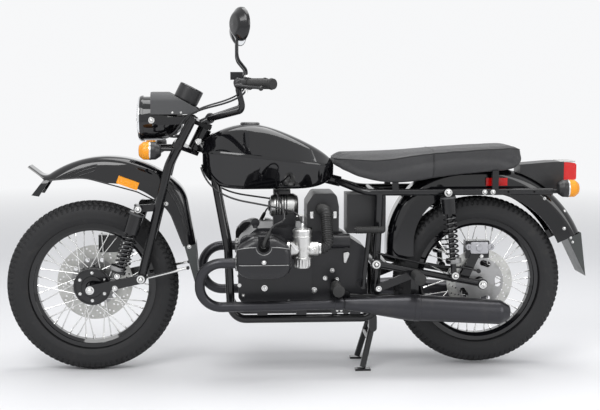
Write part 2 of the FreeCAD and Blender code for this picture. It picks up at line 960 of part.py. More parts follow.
def rim(node, axle):
    """A dropped-centre rim of one wall."""
    wall = s.rim_wall
    half, bead = s.rim_half, s.bead_half
    well_top = s.well_radius + wall
    corners = [
        (s.flange_radius, -half),
        (s.flange_radius, -bead),
        (s.bead_radius, -bead),
        (s.bead_radius, -s.well_half - wall * 2),
        (well_top, -s.well_half),
        (well_top, s.well_half),
        (s.bead_radius, s.well_half + wall * 2),
        (s.bead_radius, bead),
        (s.flange_radius, bead),
        (s.flange_radius, half),
        (s.bead_radius - wall, half),
        (s.bead_radius - wall, s.well_half + wall * 3),
        (s.well_radius, s.well_half + wall),
        (s.well_radius, -s.well_half - wall),
        (s.bead_radius - wall, -s.well_half - wall * 3),
        (s.bead_radius - wall, -half),
    ]
    keep(node, turned(node, corners, axle, ALONG_Y))


def spoke(label, turn_share, side, direction):
    """A spoke from a hub flange to the rim's well, leaning one way around the wheel."""
    rim_angle = turn_share * 360
    hub_angle = rim_angle - direction * s.spoke_lean
    flange = s.hub_flange_place * side
    start = (s.spoke_seat_radius * cosine(hub_angle), s.spoke_seat_radius * sine(hub_angle), flange)
    far = s.well_radius - s.spoke_end_gap
    end = (far * cosine(rim_angle), far * sine(rim_angle), s.spoke_foot * side)
    return rod(label, start, end, s.spoke_radius)


def wheel_hub(node, axle, disc_place, turn):
    """A hub with two spoke flanges, a side cover, a boss for the brake disc, and its spokes."""
    bore = s.axle_radius + gap
    outer = s.hub_flange_place + s.hub_flange_thick / 2
    inner = s.hub_flange_place - s.hub_flange_thick / 2
    corners = [
        (bore, -outer - s.hub_cover_thick),
        (s.hub_cover_radius, -outer - s.hub_cover_thick, s.hub_cover_corner),
        (s.hub_cover_radius, -outer),
        (s.hub_flange_radius, -outer),
        (s.hub_flange_radius, -inner),
        (s.hub_radius, -inner, s.hub_root_bend),
        (s.hub_radius, inner, s.hub_root_bend),
        (s.hub_flange_radius, inner),
        (s.hub_flange_radius, outer),
        (s.hub_boss_radius, outer),
        (s.hub_boss_radius, disc_place - s.disc_thick / 2 - gap),
        (bore, disc_place - s.disc_thick / 2 - gap),
    ]
    pieces = [turned(node + "_barrel", corners)]
    places = ((-1, 1), (1, 1), (-1, -1), (1, -1))
    count = int(s.spoke_sets) * len(places)
    for index in range(count):
        side, direction = places[index % len(places)]
        pieces.append(spoke(f"{node}_spoke_{index}", index / count, side, direction))
    keep(node, put(joined(node, *pieces), axle, turn))


def disc(node, axle, radius, place, turn, windows):
    """A brake disc on the hub's boss, with drilled holes across the pads' path and windows inside it."""
    bore = s.axle_radius * 2
    low, high = place - s.disc_thick / 2, place + s.disc_thick / 2
    corners = [(bore, low), (radius, low), (radius, high), (bore, high)]
    plain = turned(node + "_plain", corners, axle, turn)
    count = int(s.drill_sets)
    holes = []
    for index in range(count):
        for row in (1, 2, 3):
            angle = index * 360 / count + s.drill_turn * row
            reach = radius - s.drill_pitch * row
            across = (reach * cosine(angle), reach * sine(angle), low - s.disc_thick)
            holes.append(cylinder(f"{node}_hole_{index}_{row}", s.drill_radius, s.disc_thick * 3, across))
    holes += windows(node, low)
    tool = put(group(node + "_holes", "Part::MultiFuse", holes), axle, turn)
    keep(node, cut(node, plain, tool))


def round_windows(node, low):
    """Round windows in a circle."""
    count = int(s.drill_sets) // 2
    made = []
    for index in range(count):
        angle = index * 360 / count
        across = (s.front_window_place * cosine(angle), s.front_window_place * sine(angle),
                  low - s.disc_thick)
        made.append(cylinder(f"{node}_window_{index}", s.front_window_radius, s.disc_thick * 3, across))
    return made


def long_windows(node, low):
    """Long windows in a circle, each of three round cuts that run into each other."""
    count = int(s.drill_sets) // 4
    made = []
    for index in range(count):
        for step in (-1, 0, 1):
            angle = index * 360 / count + s.rear_window_turn * step * 0.5
            across = (s.rear_window_place * cosine(angle), s.rear_window_place * sine(angle),
                      low - s.disc_thick)
            made.append(cylinder(f"{node}_window_{index}_{step}", s.rear_window_radius, s.disc_thick * 3,
                                 across))
    return made


def caliper(label, axle, radius, centre, place, bracket):
    """A brake caliper that straddles a disc's edge, joined to the plates that carry it."""
    lengths = (s.caliper_length, s.caliper_half * 2, s.pad_depth * 2)
    corner = (centre[0] - s.caliper_length / 2, place - s.caliper_half, centre[2] - s.pad_depth)
    block = box(label + "_block", lengths, corner)
    start = (axle[0], place - s.disc_thick, axle[2])
    groove = cylinder(label + "_groove", radius + s.overrun, s.disc_thick * 2, start, ALONG_Y)
    return joined(label, cut(label + "_body", block, groove), *bracket)


def shock(label, top, foot, y, shroud, spring_length, coils):
    """A shock absorber from its top eye to its lower eye, and its spring."""
    top, foot = (top[0], y, top[2]), (foot[0], y, foot[2])
    eyes = []
    for end, point in (("top", top), ("foot", foot)):
        start = (point[0], y - s.eye_half, point[2])
        eyes.append(cylinder(f"{label}_{end}_eye", s.eye_radius, s.eye_half * 2, start, ALONG_Y))
    shroud_start = from_start(top, foot, s.eye_radius)
    shroud_end = from_start(top, foot, s.eye_radius + shroud)
    cup_start = from_start(top, foot, s.eye_radius + shroud + spring_length)
    cup_end = from_start(top, foot, s.eye_radius + shroud + spring_length + s.cup_thick)
    outer = rod(label + "_shroud", shroud_start, shroud_end, s.shroud_radius)
    damper = rod(label + "_damper", shroud_end, foot, s.damper_radius)
    neck = rod(label + "_neck", top, shroud_start, s.damper_radius)
    cup = rod(label + "_cup", cup_start, cup_end, s.shroud_radius)
    unit = joined(label, *eyes, outer, damper, neck, cup)
    clear = gap + s.spring_wire
    helix = doc.addObject("Part::Helix", label + "_coil_line")
    reach = spring_length - clear * 2
    tie(helix, "Radius", s.spring_radius)
    tie(helix, "Height", reach)
    tie(helix, "Pitch", reach / coils)
    ring = doc.addObject("Part::Circle", label + "_coil_ring")
    tie(ring, "Radius", s.spring_wire)
    put(ring, (s.spring_radius, 0, 0), TO_LEFT)
    coil = doc.addObject("Part::Sweep", label + "_coil")
    coil.Sections = [ring]
    coil.Spine = (helix, [])
    coil.Solid = True
    coil.Frenet = True
    way = FreeCAD.Rotation(V(0, 0, 1), vector(minus(foot, top)))
    put(coil, from_start(top, foot, s.eye_radius + shroud + clear), way)
    return unit, coil


def guard_channel(label, crown, half):
    """A mudguard's round-cornered channel, swept along its crown line in the middle plane."""
    line = doc.addObject("Sketcher::SketchObject", label + "_crown")
    line.Placement = FreeCAD.Placement(V(0, 0, 0), TO_LEFT)
    draw(line, crown, closed=False)
    section = doc.addObject("Sketcher::SketchObject", label + "_section")
    run = V(float(crown[1][0] - crown[0][0]), 0, float(crown[1][1] - crown[0][1])).normalize()
    out = V(-run.z, 0, run.x)
    turn = FreeCAD.Rotation(V(0, 1, 0), out, run, "ZYX")
    put(section, (crown[0][0], 0, crown[0][1]), turn)
    wall, corner, deep = s.guard_wall, s.guard_corner, s.guard_skirt
    inner = half - wall
    draw(section, [
        (-half, -deep),
        (-half, 0, corner),
        (half, 0, corner),
        (half, -deep),
        (inner, -deep),
        (inner, -wall, corner - wall),
        (-inner, -wall, corner - wall),
        (-inner, -deep),
    ])
    channel = doc.addObject("Part::Sweep", label + "_channel")
    channel.Sections = [section]
    channel.Spine = (line, [])
    channel.Solid = True
    channel.Frenet = False
    return channel


def front_guard():
    """The front mudguard: an upturned lip with a plate below it, a round crown, a tail, and trimmed skirts."""
    x, z = front_axle[0], front_axle[2]
    tip = (x - s.lip_tip_run, z + s.lip_tip_rise)
    dip = (x - s.lip_dip_run, z + s.lip_dip_rise)
    crown = [
        tip,
        (dip[0], dip[1], s.front_lip_bend),
        (x - s.crown_front_run, z + s.crown_front_rise, s.front_guard_radius),
        (x + s.crown_back_run, z + s.crown_back_rise, s.front_guard_radius),
        (x + s.crown_tail_run, z + s.crown_tail_rise, s.front_guard_tail_bend),
        (x + s.crown_end_run, z + s.crown_end_rise),
    ]
    channel = guard_channel("front_mudguard", crown, s.guard_half)
    beyond = from_start(tip, dip, -s.guard_skirt)
    plate = (x - s.lip_plate_run, z + s.lip_plate_rise)
    edge = [
        (beyond[0], z),
        (beyond[0], beyond[1] - s.lip_skirt),
        (dip[0], dip[1] - s.lip_skirt),
        plate,
        (plate[0] + s.lip_plate_width, plate[1] - s.guard_wall * 2),
        (x - s.skirt_start_run, z + s.skirt_start_rise, s.skirt_start_bend),
        (x - s.skirt_high_run, z + s.skirt_high_rise, s.skirt_high_bend),
        (x + s.skirt_back_run, z + s.skirt_back_rise, s.skirt_back_bend),
        (x + s.skirt_tail_run, z + s.skirt_tail_rise, s.skirt_back_bend),
        (x + s.skirt_end_run, z + s.crown_end_rise),
        (x + s.skirt_end_run, z),
    ]
    trim = slab("front_mudguard_trim", edge, s.guard_half * 2 + s.overrun * 2)
    keep("front_mudguard", cut("front_mudguard", channel, trim))
    mud_flap("front_flap", crown[4], crown[5], s.front_flap_depth, (s.front_flap_tip_x, s.front_flap_tip_z))


def mud_flap(node, before, end, depth, tip):
    """A hollow wedge that hangs from a mudguard's end, below the line that its crown runs out on."""
    span = root_sum(end[0] - before[0], end[1] - before[1])
    ahead = ((end[0] - before[0]) / span, (end[1] - before[1]) / span)
    back_corner = (end[0] + ahead[0] * gap, end[1] + ahead[1] * gap)
    front_corner = (back_corner[0] + ahead[1] * depth, back_corner[1] - ahead[0] * depth)
    body = slab(node + "_outside", [front_corner, back_corner, tip], s.guard_half * 2)
    wall = s.flap_wall / depth
    middle = along(front_corner, back_corner, 0.5)
    inside = [
        plus(along(front_corner, back_corner, wall), along((0, 0), minus(front_corner, tip), 0.1)),
        plus(along(back_corner, front_corner, wall), along((0, 0), minus(back_corner, tip), 0.1)),
        along(tip, middle, 0.1),
    ]
    hollow = slab(node + "_inside", inside, (s.guard_half - s.flap_wall) * 2)
    keep(node, cut(node, body, hollow))


def fork():
    """Yokes and stem, the two swept-back legs with their brace, and the links that carry the axle."""
    leg = bent("fork_leg", [fork_top, fork_knee, fork_foot], s.fork_bend, s.fork_tube_radius)
    reach = link_y - s.link_thick / 2 - gap
    boss = rod("fork_boss", fork_foot, (fork_foot[0], -reach, fork_foot[2]), s.pivot_radius)
    base = along(fork_knee, fork_foot, s.shock_bracket_share)
    eye = (shock_top[0], -s.fork_half, shock_top[2])
    plate = slot("fork_shock_plate", base, eye, s.eye_radius, s.hanger_thick, -s.fork_half)
    pin = rod("fork_shock_pin", eye, (eye[0], -link_y + s.eye_half + gap, eye[2]), s.pin_radius)
    stalk_start = (front_signal_base[0], -s.fork_half, front_signal_base[2])
    stalk_end = (front_signal_base[0], -s.front_signal_y + s.signal_radius + gap, s.front_signal_z)
    stalk = rod("fork_signal_stalk", stalk_start, stalk_end, s.signal_stalk)
    arm_share = (fork_top[2] - s.front_signal_z) / (fork_top[2] - fork_knee[2])
    arm = rod("fork_signal_arm", along(fork_top, fork_knee, arm_share), stalk_start, s.signal_stalk)
    high = along(fork_knee, fork_foot, s.guard_mount_share)
    guard_boss = rod("fork_guard_boss", high, (high[0], -s.guard_half - gap, high[2]), s.pin_radius)
    pad_y = -s.guard_half - gap
    stay_end = (s.guard_stay_x, pad_y - s.guard_stay_radius, s.guard_stay_z)
    stay = rod("guard_stay", (fork_foot[0], -s.fork_half - s.pivot_radius / 2, fork_foot[2]), stay_end,
               s.guard_stay_radius)
    stay_pad = rod("guard_stay_pad", (stay_end[0], pad_y - s.guard_stay_radius * 2, stay_end[2]),
                   (stay_end[0], pad_y, stay_end[2]), s.pin_radius)
    legs = joined("fork_leg_left", leg, boss, plate, pin, arm, stalk, guard_boss, stay, stay_pad)
    brace_at = along(fork_knee, fork_foot, s.brace_share)
    brace = rod("fork_brace", brace_at, flip(brace_at), s.brace_radius)
    keep("fork_legs", joined("fork_legs", legs, mirrored(legs), brace))

    spread, margin, back = s.fork_half + s.yoke_margin, s.yoke_margin, s.yoke_back
    outline = [
        (back, -back * 0.38, back * 0.8),
        (-s.yoke_reach + margin * 0.5, -spread, margin * 0.7),
        (-s.yoke_reach - margin, -spread, margin * 0.8),
        (-s.yoke_reach - margin, spread, margin * 0.8),
        (-s.yoke_reach + margin * 0.5, spread, margin * 0.7),
        (back, back * 0.38, back * 0.8),
    ]
    holes = bent("fork_holes", [fork_top, fork_knee, fork_foot], s.fork_bend, s.fork_tube_radius + gap)
    low = put(slab("yoke_low", outline, s.yoke_thick, "XY_Plane"),
              on_head(-s.yoke_gap - s.yoke_thick / 2), rake_turn)
    top_mid = s.head_length + s.yoke_gap + s.yoke_thick / 2
    high_yoke = put(slab("yoke_high", outline, s.yoke_thick, "XY_Plane"), on_head(top_mid), rake_turn)
    stem = rod("stem", on_head(-s.yoke_gap - s.yoke_thick), on_head(top_mid + s.stem_rise), s.stem_radius)
    nut = rod("stem_nut", on_head(top_mid), on_head(top_mid + s.stem_rise), s.stem_nut_radius)
    posts = []
    for side in (-1, 1):
        foot = on_head(top_mid, s.yoke_back * 1.2, s.bar_clamp_y * side)
        clamp = (bar_clamp[0], s.bar_clamp_y * side, bar_clamp[2])
        posts.append(rod(f"clamp_post_{side}", foot, clamp, s.bar_radius))
        start = (clamp[0], clamp[1] - s.bar_clamp_radius / 2, clamp[2])
        posts.append(cylinder(f"clamp_{side}", s.bar_clamp_radius, s.bar_clamp_radius, start, ALONG_Y))
    ears = []
    for side in (-1, 1):
        edge = (s.lamp_radius + gap + s.ear_thick / 2) * side
        near = on_head(top_mid, s.yoke_reach)
        ears.append(slot(f"lamp_ear_{side}", near, (lamp_pivot[0], 0, lamp_pivot[2]), s.yoke_thick * 0.9,
                         s.ear_thick, edge))
    body = joined("yokes_whole", low, high_yoke, stem, nut, *posts, *ears)
    bar_bore = rod("bar_bore", (bar_clamp[0], -s.bar_low_y / 2, bar_clamp[2]),
                   (bar_clamp[0], s.bar_low_y / 2, bar_clamp[2]), s.bar_radius + gap)
    tools = joined("yoke_bores", holes, mirrored(holes), bar_bore)
    keep("fork_yokes", cut("fork_yokes", body, tools))

def fork_links():
    """The leading links, and the axle between them."""
    front = (front_axle[0], 0, front_axle[2])
    back = (fork_foot[0], 0, fork_foot[2])
    left = slot("fork_link_left", back, front, s.link_radius, s.link_thick, -link_y)
    reach = link_y + s.link_thick / 2
    axle = rod("front_axle", (front[0], -reach, front[2]), (front[0], reach, front[2]), s.axle_radius)
    lug_at = along(back, front, s.link_bolt_share)
    lug_foot = (lug_at[0], -link_y, lug_at[2])
    lug_end = (shock_foot[0], -link_y, shock_foot[2])
    inner = -link_y + s.eye_half + gap
    deep = inner + s.pin_radius
    lug = rod("shock_lug", (lug_foot[0], deep, lug_foot[2]), (lug_end[0], deep, lug_end[2]), s.pin_radius)
    base = rod("shock_lug_base", (lug_foot[0], -link_y, lug_foot[2]), (lug_foot[0], deep, lug_foot[2]),
               s.pin_radius)
    pin = rod("shock_lug_pin", (lug_end[0], inner, lug_end[2]), (lug_end[0], deep, lug_end[2]), s.pin_radius)
    side = joined("fork_link_side", left, base, lug, pin)
    keep("fork_links", joined("fork_links", side, mirrored(side), axle))


def front_shocks():
    unit, coil = shock("front_shock", shock_top, shock_foot, -link_y, s.front_shroud,
                       s.front_spring_length, s.front_spring_coils)
    keep("front_shocks", both("front_shocks", unit))
    keep("front_springs", both("front_springs", coil))


def rear_shocks():
    unit, coil = shock("rear_shock", rear_shock_top, rear_shock_foot, -s.rear_shock_y, s.rear_shroud,
                       s.rear_spring_length, s.rear_spring_coils)
    keep("rear_shocks", both("rear_shocks", unit))
    keep("rear_springs", both("rear_springs", coil))


def headlamp():
    """The lamp's bucket with its rim, a domed lens, and the cowl over it."""
    r = s.lamp_radius
    back = -s.lamp_length
    shell = [
        (0, back),
        (r * 0.62, back, s.lamp_back_bend),
        (r, back * 0.45, s.lamp_side_bend),
        (r, 0),
        (r + s.lamp_rim_step, 0),
        (r + s.lamp_rim_step, s.lamp_rim, s.lamp_rim_corner),
        (0, s.lamp_rim),
    ]
    centre = (s.lamp_x, 0, s.lamp_z)
    keep("headlamp_shell", turned("headlamp_shell", shell, centre, TO_FRONT))
    face = s.lamp_rim + gap
    edge = face + s.lens_edge
    lens = [(0, face), (r, face), (r, edge, s.lens_corner), (r * 0.72, face + s.lens_dome * 0.8,
                                                             s.lamp_side_bend),
            (0, face + s.lens_dome)]
    keep("headlamp_lens", turned("headlamp_lens", lens, centre, TO_FRONT))
    x, z = s.lamp_x, s.lamp_z
    low = z + s.cowl_rise
    outline = [
        (x + s.cowl_front, low),
        (x + s.cowl_front, z + s.cowl_high),
        (x + s.cowl_top, z + s.cowl_high, s.cowl_top_corner),
        (x + s.cowl_tail, z + s.cowl_tail_rise, s.cowl_tail_corner),
        (x + s.cowl_foot, low),
    ]
    half, corner = s.cowl_half, s.cowl_corner
    top = z + s.cowl_high
    arch = slab("cowl_arch", [(-half, z - r), (-half, top, corner), (half, top, corner), (half, z - r)],
                s.lamp_length * 4, "YZ_Plane", x)
    whole = doc.addObject("Part::MultiCommon", "cowl_block")
    whole.Shapes = [slab("cowl_side", outline, half * 2), arch]
    bucket = cylinder("cowl_bucket", r + gap, s.lamp_length * 2, (x - s.overrun, 0, z), ALONG_X)
    well = cylinder("cowl_well", s.gauge_radius + gap, s.gauge_length * 2, gauge_foot, gauge_turn)
    keep("headlamp_cowl", cut("headlamp_cowl", whole, joined("cowl_tools", bucket, well)))


def gauge():
    """The speedometer, tilted to the rider."""
    r, tall = s.gauge_radius, s.gauge_length
    bend = s.gauge_foot_bend
    corners = [(0, 0), (r * 0.9, 0, bend), (r, tall * 0.3, bend), (r, tall, s.gauge_rim_bend),
               (r * 0.9, tall, s.gauge_rim_bend / 2), (r * 0.88, tall * 0.95), (0, tall * 0.95)]
    keep("speedometer", turned("speedometer", corners, gauge_foot, gauge_turn))


def handlebar():
    """The bar, bent back and up to the grips."""
    bends = [s.bar_grip_bend, s.bar_rise_bend, s.bar_middle_bend]
    keep("handlebar", bent("handlebar", bar_points, bends + bends[::-1], s.bar_radius))
    start = bar_points[0]
    end = from_start(start, bar_points[1], s.grip_length)
    sleeve = rod("grip_sleeve", start, end, s.grip_radius)
    hole = rod("grip_hole", from_start(start, bar_points[1], -s.overrun),
               from_start(start, bar_points[1], s.grip_length + s.overrun), s.bar_radius + gap)
    tip = rod("grip_tip", from_start(start, bar_points[1], -s.fit_gap * 20),
              from_start(start, bar_points[1], -gap), s.grip_radius * 1.12)
    keep("grips", both("grips", joined("grip_left", cut("grip_tube", sleeve, hole), tip)))


def hand_controls():
    """Clamps beside the grips with the levers in front of them, and the brake fluid box."""
    start, inner = bar_points[0], bar_points[1]
    near = from_start(start, inner, s.grip_length + gap)
    far = from_start(start, inner, s.grip_length + s.perch_length)
    sleeve = rod("perch_sleeve", near, far, s.perch_radius)
    hole = rod("perch_hole", from_start(start, inner, s.grip_length - s.overrun),
               from_start(start, inner, s.grip_length + s.perch_length + s.overrun), s.bar_radius + gap)
    middle = along(near, far, 0.5)
    reach = s.lever_reach
    side = (reach * 0.75, reach * 0.66)
    elbow = (middle[0] - side[0], middle[1] - side[1] * 0.4, middle[2] - s.lever_radius)
    wrist = (start[0] - side[0] * 1.1, start[1] - side[1] * 0.1, start[2] - s.lever_radius * 3)
    bulge = along(elbow, wrist, 0.45)
    lever = bent("lever", [middle, elbow, wrist], [s.lever_bend], s.lever_radius)
    head_end = (middle[0], middle[1], middle[2] + s.perch_radius)
    mount = rod("mirror_mount", middle, (head_end[0], head_end[1], head_end[2] + s.mirror_rod),
                s.mirror_rod * 2)
    bored = cut("perch_bored", joined("perch_whole", sleeve, lever, mount), hole)
    well = flip(middle)
    size = s.tank_box
    fluid = box("fluid_box", (size * 1.3, size, size * 0.8),
                (well[0] - size * 1.45, well[1] - size * 0.3, well[2] + s.bar_radius + s.fit_gap * 3))
    right = joined("controls_right", mirrored(bored), fluid)
    keep("hand_controls", apart("hand_controls", bored, right))


def mirrors():
    """Round mirrors on bent rods: a domed back, and the glass in it."""
    start, inner = bar_points[0], bar_points[1]
    near = from_start(start, inner, s.grip_length + gap)
    far = from_start(start, inner, s.grip_length + s.perch_length)
    base = along(near, far, 0.5)
    foot = (base[0], base[1], base[2] + s.perch_radius + s.mirror_rod + gap)
    rise = (foot[0], foot[1], foot[2] + s.mirror_rod * 5)
    low = (s.mirror_x - s.mirror_depth * 0.5, -s.mirror_y, base[2] + s.mirror_radius * 1.5)
    back = (s.mirror_x - s.mirror_depth * 0.5, -s.mirror_y, s.mirror_z - s.mirror_radius * 0.4)
    stem = bent("mirror_stem", [foot, rise, low, back], [s.mirror_foot_bend, s.mirror_stem_bend],
                s.mirror_rod)
    r, deep = s.mirror_radius, s.mirror_depth
    shell = [(0, -deep), (r * 0.6, -deep * 0.92, s.mirror_back_bend), (r, -deep * 0.3, s.mirror_edge_bend),
             (r, 0),
             (r * 0.95, 0), (r * 0.95, -s.flap_wall), (0, -s.flap_wall)]
    face = FreeCAD.Rotation(V(0, 0, 1), V(math.cos(math.radians(s.mirror_turn)),
                                           math.sin(math.radians(s.mirror_turn)), 0))
    place = (s.mirror_x, -s.mirror_y, s.mirror_z)
    back_shell = turned("mirror_shell", shell, place, face)
    keep("mirrors", both("mirrors", joined("mirror_left", stem, back_shell)))
    glass = [(0, gap - s.flap_wall), (r * 0.95 - gap, gap - s.flap_wall), (r * 0.95 - gap, 0), (0, 0)]
    keep("mirror_glass", both("mirror_glass", turned("mirror_pane", glass, place, face)))


def signals(node, x, y, z, turn, stalk):
    """A pair of round turn signals: a housing and a lens that share one axis."""
    r = s.signal_radius
    shell = [(0, -s.signal_body), (r * 0.6, -s.signal_body, s.signal_back_bend),
             (r, -s.signal_body * 0.5, s.signal_bend), (r, 0), (0, 0)]
    housing = turned(node + "_housing", shell, (x, -y, z), turn)
    keep(node, both(node, joined(node + "_left", housing, stalk) if stalk else housing))
    lens = [(0, gap), (r, gap), (r, s.signal_lens * 0.6, s.signal_lens_bend),
            (r * 0.6, s.signal_lens, s.signal_bend),
            (0, s.signal_lens)]
    keep(node + "_lenses", both(node + "_lenses", turned(node + "_lens", lens, (x, -y, z), turn)))


def reflector(node, x, z, lean):
    """A pair of side reflectors on a mudguard's flanks."""
    face = FreeCAD.Rotation(V(0, 1, 0), float(lean))
    long, tall = s.reflector_length, s.reflector_height
    corner_run = vector((-long / 2, 0, -tall / 2))
    moved = face.multVec(corner_run)
    y = -s.guard_half - gap - s.reflector_thick
    piece = box(node + "_left", (long, s.reflector_thick, tall), (x + moved.x, y, z + moved.z), face)
    keep(node, both(node, piece))


def rest_block(label, x, top, clear):
    """A block on the left rail that the seat rests on, or the room for it when clear isn't zero."""
    lengths = (s.rest_length + clear * 2, s.rest_width + clear * 2, top - s.rail_z + clear)
    return box(label, lengths, (x - clear, -s.rail_half - s.rest_width / 2 - clear, s.rail_z))


def frame_tubes():
    """A double cradle: head, backbone, down tubes that run under the engine, and the rear rails."""
    r = s.frame_radius
    tube = rod("head_tube", head, on_head(s.head_length), s.head_radius)
    spine_start = on_head(s.backbone_radius * 0.8)
    spine_end = (s.backbone_x, 0, s.backbone_z)
    spine = rod("backbone", spine_start, spine_end, s.backbone_radius)
    half = s.cradle_half
    low = s.cradle_z
    cradle = cradle_start + [
        (s.cradle_front_x, -half, low),
        (s.cradle_back_x, -half, low),
        (s.pivot_x + s.pivot_post_step, -half, s.pivot_z),
        (s.pivot_x + s.rail_post_step, -s.rail_half, s.rail_z),
    ]
    bend = s.frame_bend
    loop = bent("cradle_tube", cradle, [bend, s.cradle_bend, bend, bend, s.cradle_bend], r)
    rail = bent("rail_tube", [
        (s.backbone_x - s.rail_start_back, -s.rail_radius, s.backbone_z + s.rail_start_rise),
        (s.pivot_x - s.rail_bend_back, -s.rail_half, s.rail_z),
        (s.rail_end_x, -s.rail_half, s.rail_z),
    ], s.rail_bend, s.rail_radius)
    pin = rod("rear_shock_pin", (s.rear_shock_x, -s.rail_half, s.rear_shock_z),
              (s.rear_shock_x, -s.rear_shock_y + s.eye_half + gap, s.rear_shock_z), s.pin_radius)
    lugs = []
    for number, x in enumerate((s.rear_shock_x, s.rail_end_x - s.tail_lug_back)):
        lugs.append(rod(f"guard_lug_{number}", (x, -s.rail_half, s.rail_z),
                        (x, -s.guard_half - gap, s.rail_z), s.pin_radius))
    stand_lug = slot("stand_lug", (s.stand_pivot_x, 0, low), (s.stand_pivot_x, 0, s.stand_pivot_z),
                     s.stand_radius * 1.3, s.stand_radius, -half)
    rests = [rest_block(f"seat_rest_{number}", *place, 0) for number, place in enumerate(rest_places)]
    side = joined("frame_side", loop, rail, pin, *lugs, stand_lug, *rests)
    reach = s.pivot_face - gap
    pivot = rod("pivot_tube", (s.pivot_x, -reach, s.pivot_z), (s.pivot_x, reach, s.pivot_z),
                s.arm_boss * 0.9)
    crosses = [pivot]
    for number, (x, z) in enumerate(((s.cradle_front_x, low + s.front_cross_rise),
                                     (s.cradle_back_x - s.low_cross_back, low))):
        crosses.append(rod(f"cross_tube_{number}", (x, -half, z), (x, half, z), r * 0.9))
    cross_x = s.pivot_x - s.rear_cross_back
    crosses.append(rod("rear_cross", (cross_x, -s.rail_half, s.rail_z), (cross_x, s.rail_half, s.rail_z),
                       s.cross_rail_radius))
    whole = joined("frame_whole", tube, spine, side, mirrored(side), *crosses)
    tools = [rod("head_bore", on_head(-s.overrun), on_head(s.head_length + s.overrun), s.stem_radius + gap)]
    for number in range(2):
        x = s.carrier_bolt_x + s.carrier_bolt_pitch * number
        reach = s.rail_half + s.rail_radius * 2
        tools.append(rod(f"carrier_bolt_{number}", (x, -reach, s.rail_z), (x, reach, s.rail_z),
                         s.carrier_bolt_radius))
    keep("frame", cut("frame", whole, joined("frame_tools", *tools)))


def swing_arm():
    """The swing arm: two tubes, their pivot bosses, a brace, and the rear axle between their ends."""
    r = s.arm_radius
    left = rod("arm_left", arm_pivot, arm_end, r)
    boss = rod("arm_boss", (s.pivot_x, -s.pivot_face, s.pivot_z),
               (s.pivot_x, -s.arm_half - r, s.pivot_z), s.arm_boss)
    tip = rod("arm_tip", (arm_end[0], -s.arm_half + r, arm_end[2]),
              (arm_end[0], -s.arm_half - r, arm_end[2]),
              s.arm_boss)
    ear = slot("arm_shock_ear", arm_mount, (rear_shock_foot[0], 0, rear_shock_foot[2]), s.eye_radius,
               r * 1.4,
               -s.arm_half)
    pin = rod("arm_shock_pin", (rear_shock_foot[0], -s.arm_half, rear_shock_foot[2]),
              (rear_shock_foot[0], -s.rear_shock_y + s.eye_half + gap, rear_shock_foot[2]), s.pin_radius)
    side = joined("arm_side", left, boss, tip, ear, pin)
    share = (s.brace_x - s.pivot_x) / (arm_end[0] - s.pivot_x)
    brace_at = along(arm_pivot, arm_end, share)
    brace = rod("arm_brace", brace_at, flip(brace_at), r * 0.9)
    axle_reach = s.arm_half + r + s.overrun
    axle = rod("rear_axle", (arm_end[0], -axle_reach, arm_end[2]), (arm_end[0], axle_reach, arm_end[2]),
               s.axle_radius)
    keep("swing_arm", joined("swing_arm", side, mirrored(side), brace, axle, final_drive()))


def final_drive():
    """The bevel drive's housing beside the rear hub, on the swing arm's right end."""
    inner, outer = s.drive_inner, s.arm_half - s.arm_radius + s.overrun
    bore = s.axle_radius + gap
    corners = [
        (bore, inner),
        (s.drive_radius * 0.8, inner, s.drive_face_bend),
        (s.drive_radius, inner + s.drive_face_depth, s.drive_edge_bend),
        (s.drive_radius, inner + s.drive_back_depth, s.drive_back_bend),
        (s.drive_hub_radius, outer, s.drive_edge_bend),
        (bore, outer),
    ]
    return turned("final_drive", corners, rear_axle, ALONG_Y)


def calipers():
    fork_place = (front_axle[0] + s.caliper_back, 0, front_axle[2] + s.front_disc_radius + s.caliper_lift)
    base = (front_axle[0] + s.caliper_back * 1.8, 0, front_axle[2] + s.caliper_foot)
    plate_y = s.front_disc_place + s.caliper_half
    bracket = [slot("front_caliper_plate", base, fork_place, s.link_radius, s.hanger_thick, plate_y)]
    pin = rod("front_caliper_pin", (base[0], plate_y, base[2]),
              (base[0], link_y - s.link_thick / 2 - gap, base[2]), s.pin_radius)
    bracket.append(pin)
    keep("front_caliper", caliper("front_caliper", front_axle, s.front_disc_radius, fork_place,
                                  s.front_disc_place, bracket))
    place = (rear_axle[0] - s.rear_caliper_back, 0, rear_axle[2] + s.rear_disc_radius)
    foot = (rear_axle[0] - s.rear_caliper_foot, 0, rear_axle[2] + s.rear_caliper_rise)
    plate = slot("rear_caliper_plate", foot, place, s.link_radius, s.hanger_thick,
                 -s.rear_disc_place - s.caliper_half)
    peg = rod("rear_caliper_pin", (foot[0], -s.rear_disc_place - s.caliper_half, foot[2]),
              (foot[0], -s.arm_half + s.arm_radius + gap, foot[2]), s.pin_radius)
    keep("rear_caliper", caliper("rear_caliper", rear_axle, s.rear_disc_radius, place,
                                 -s.rear_disc_place, [plate, peg]))


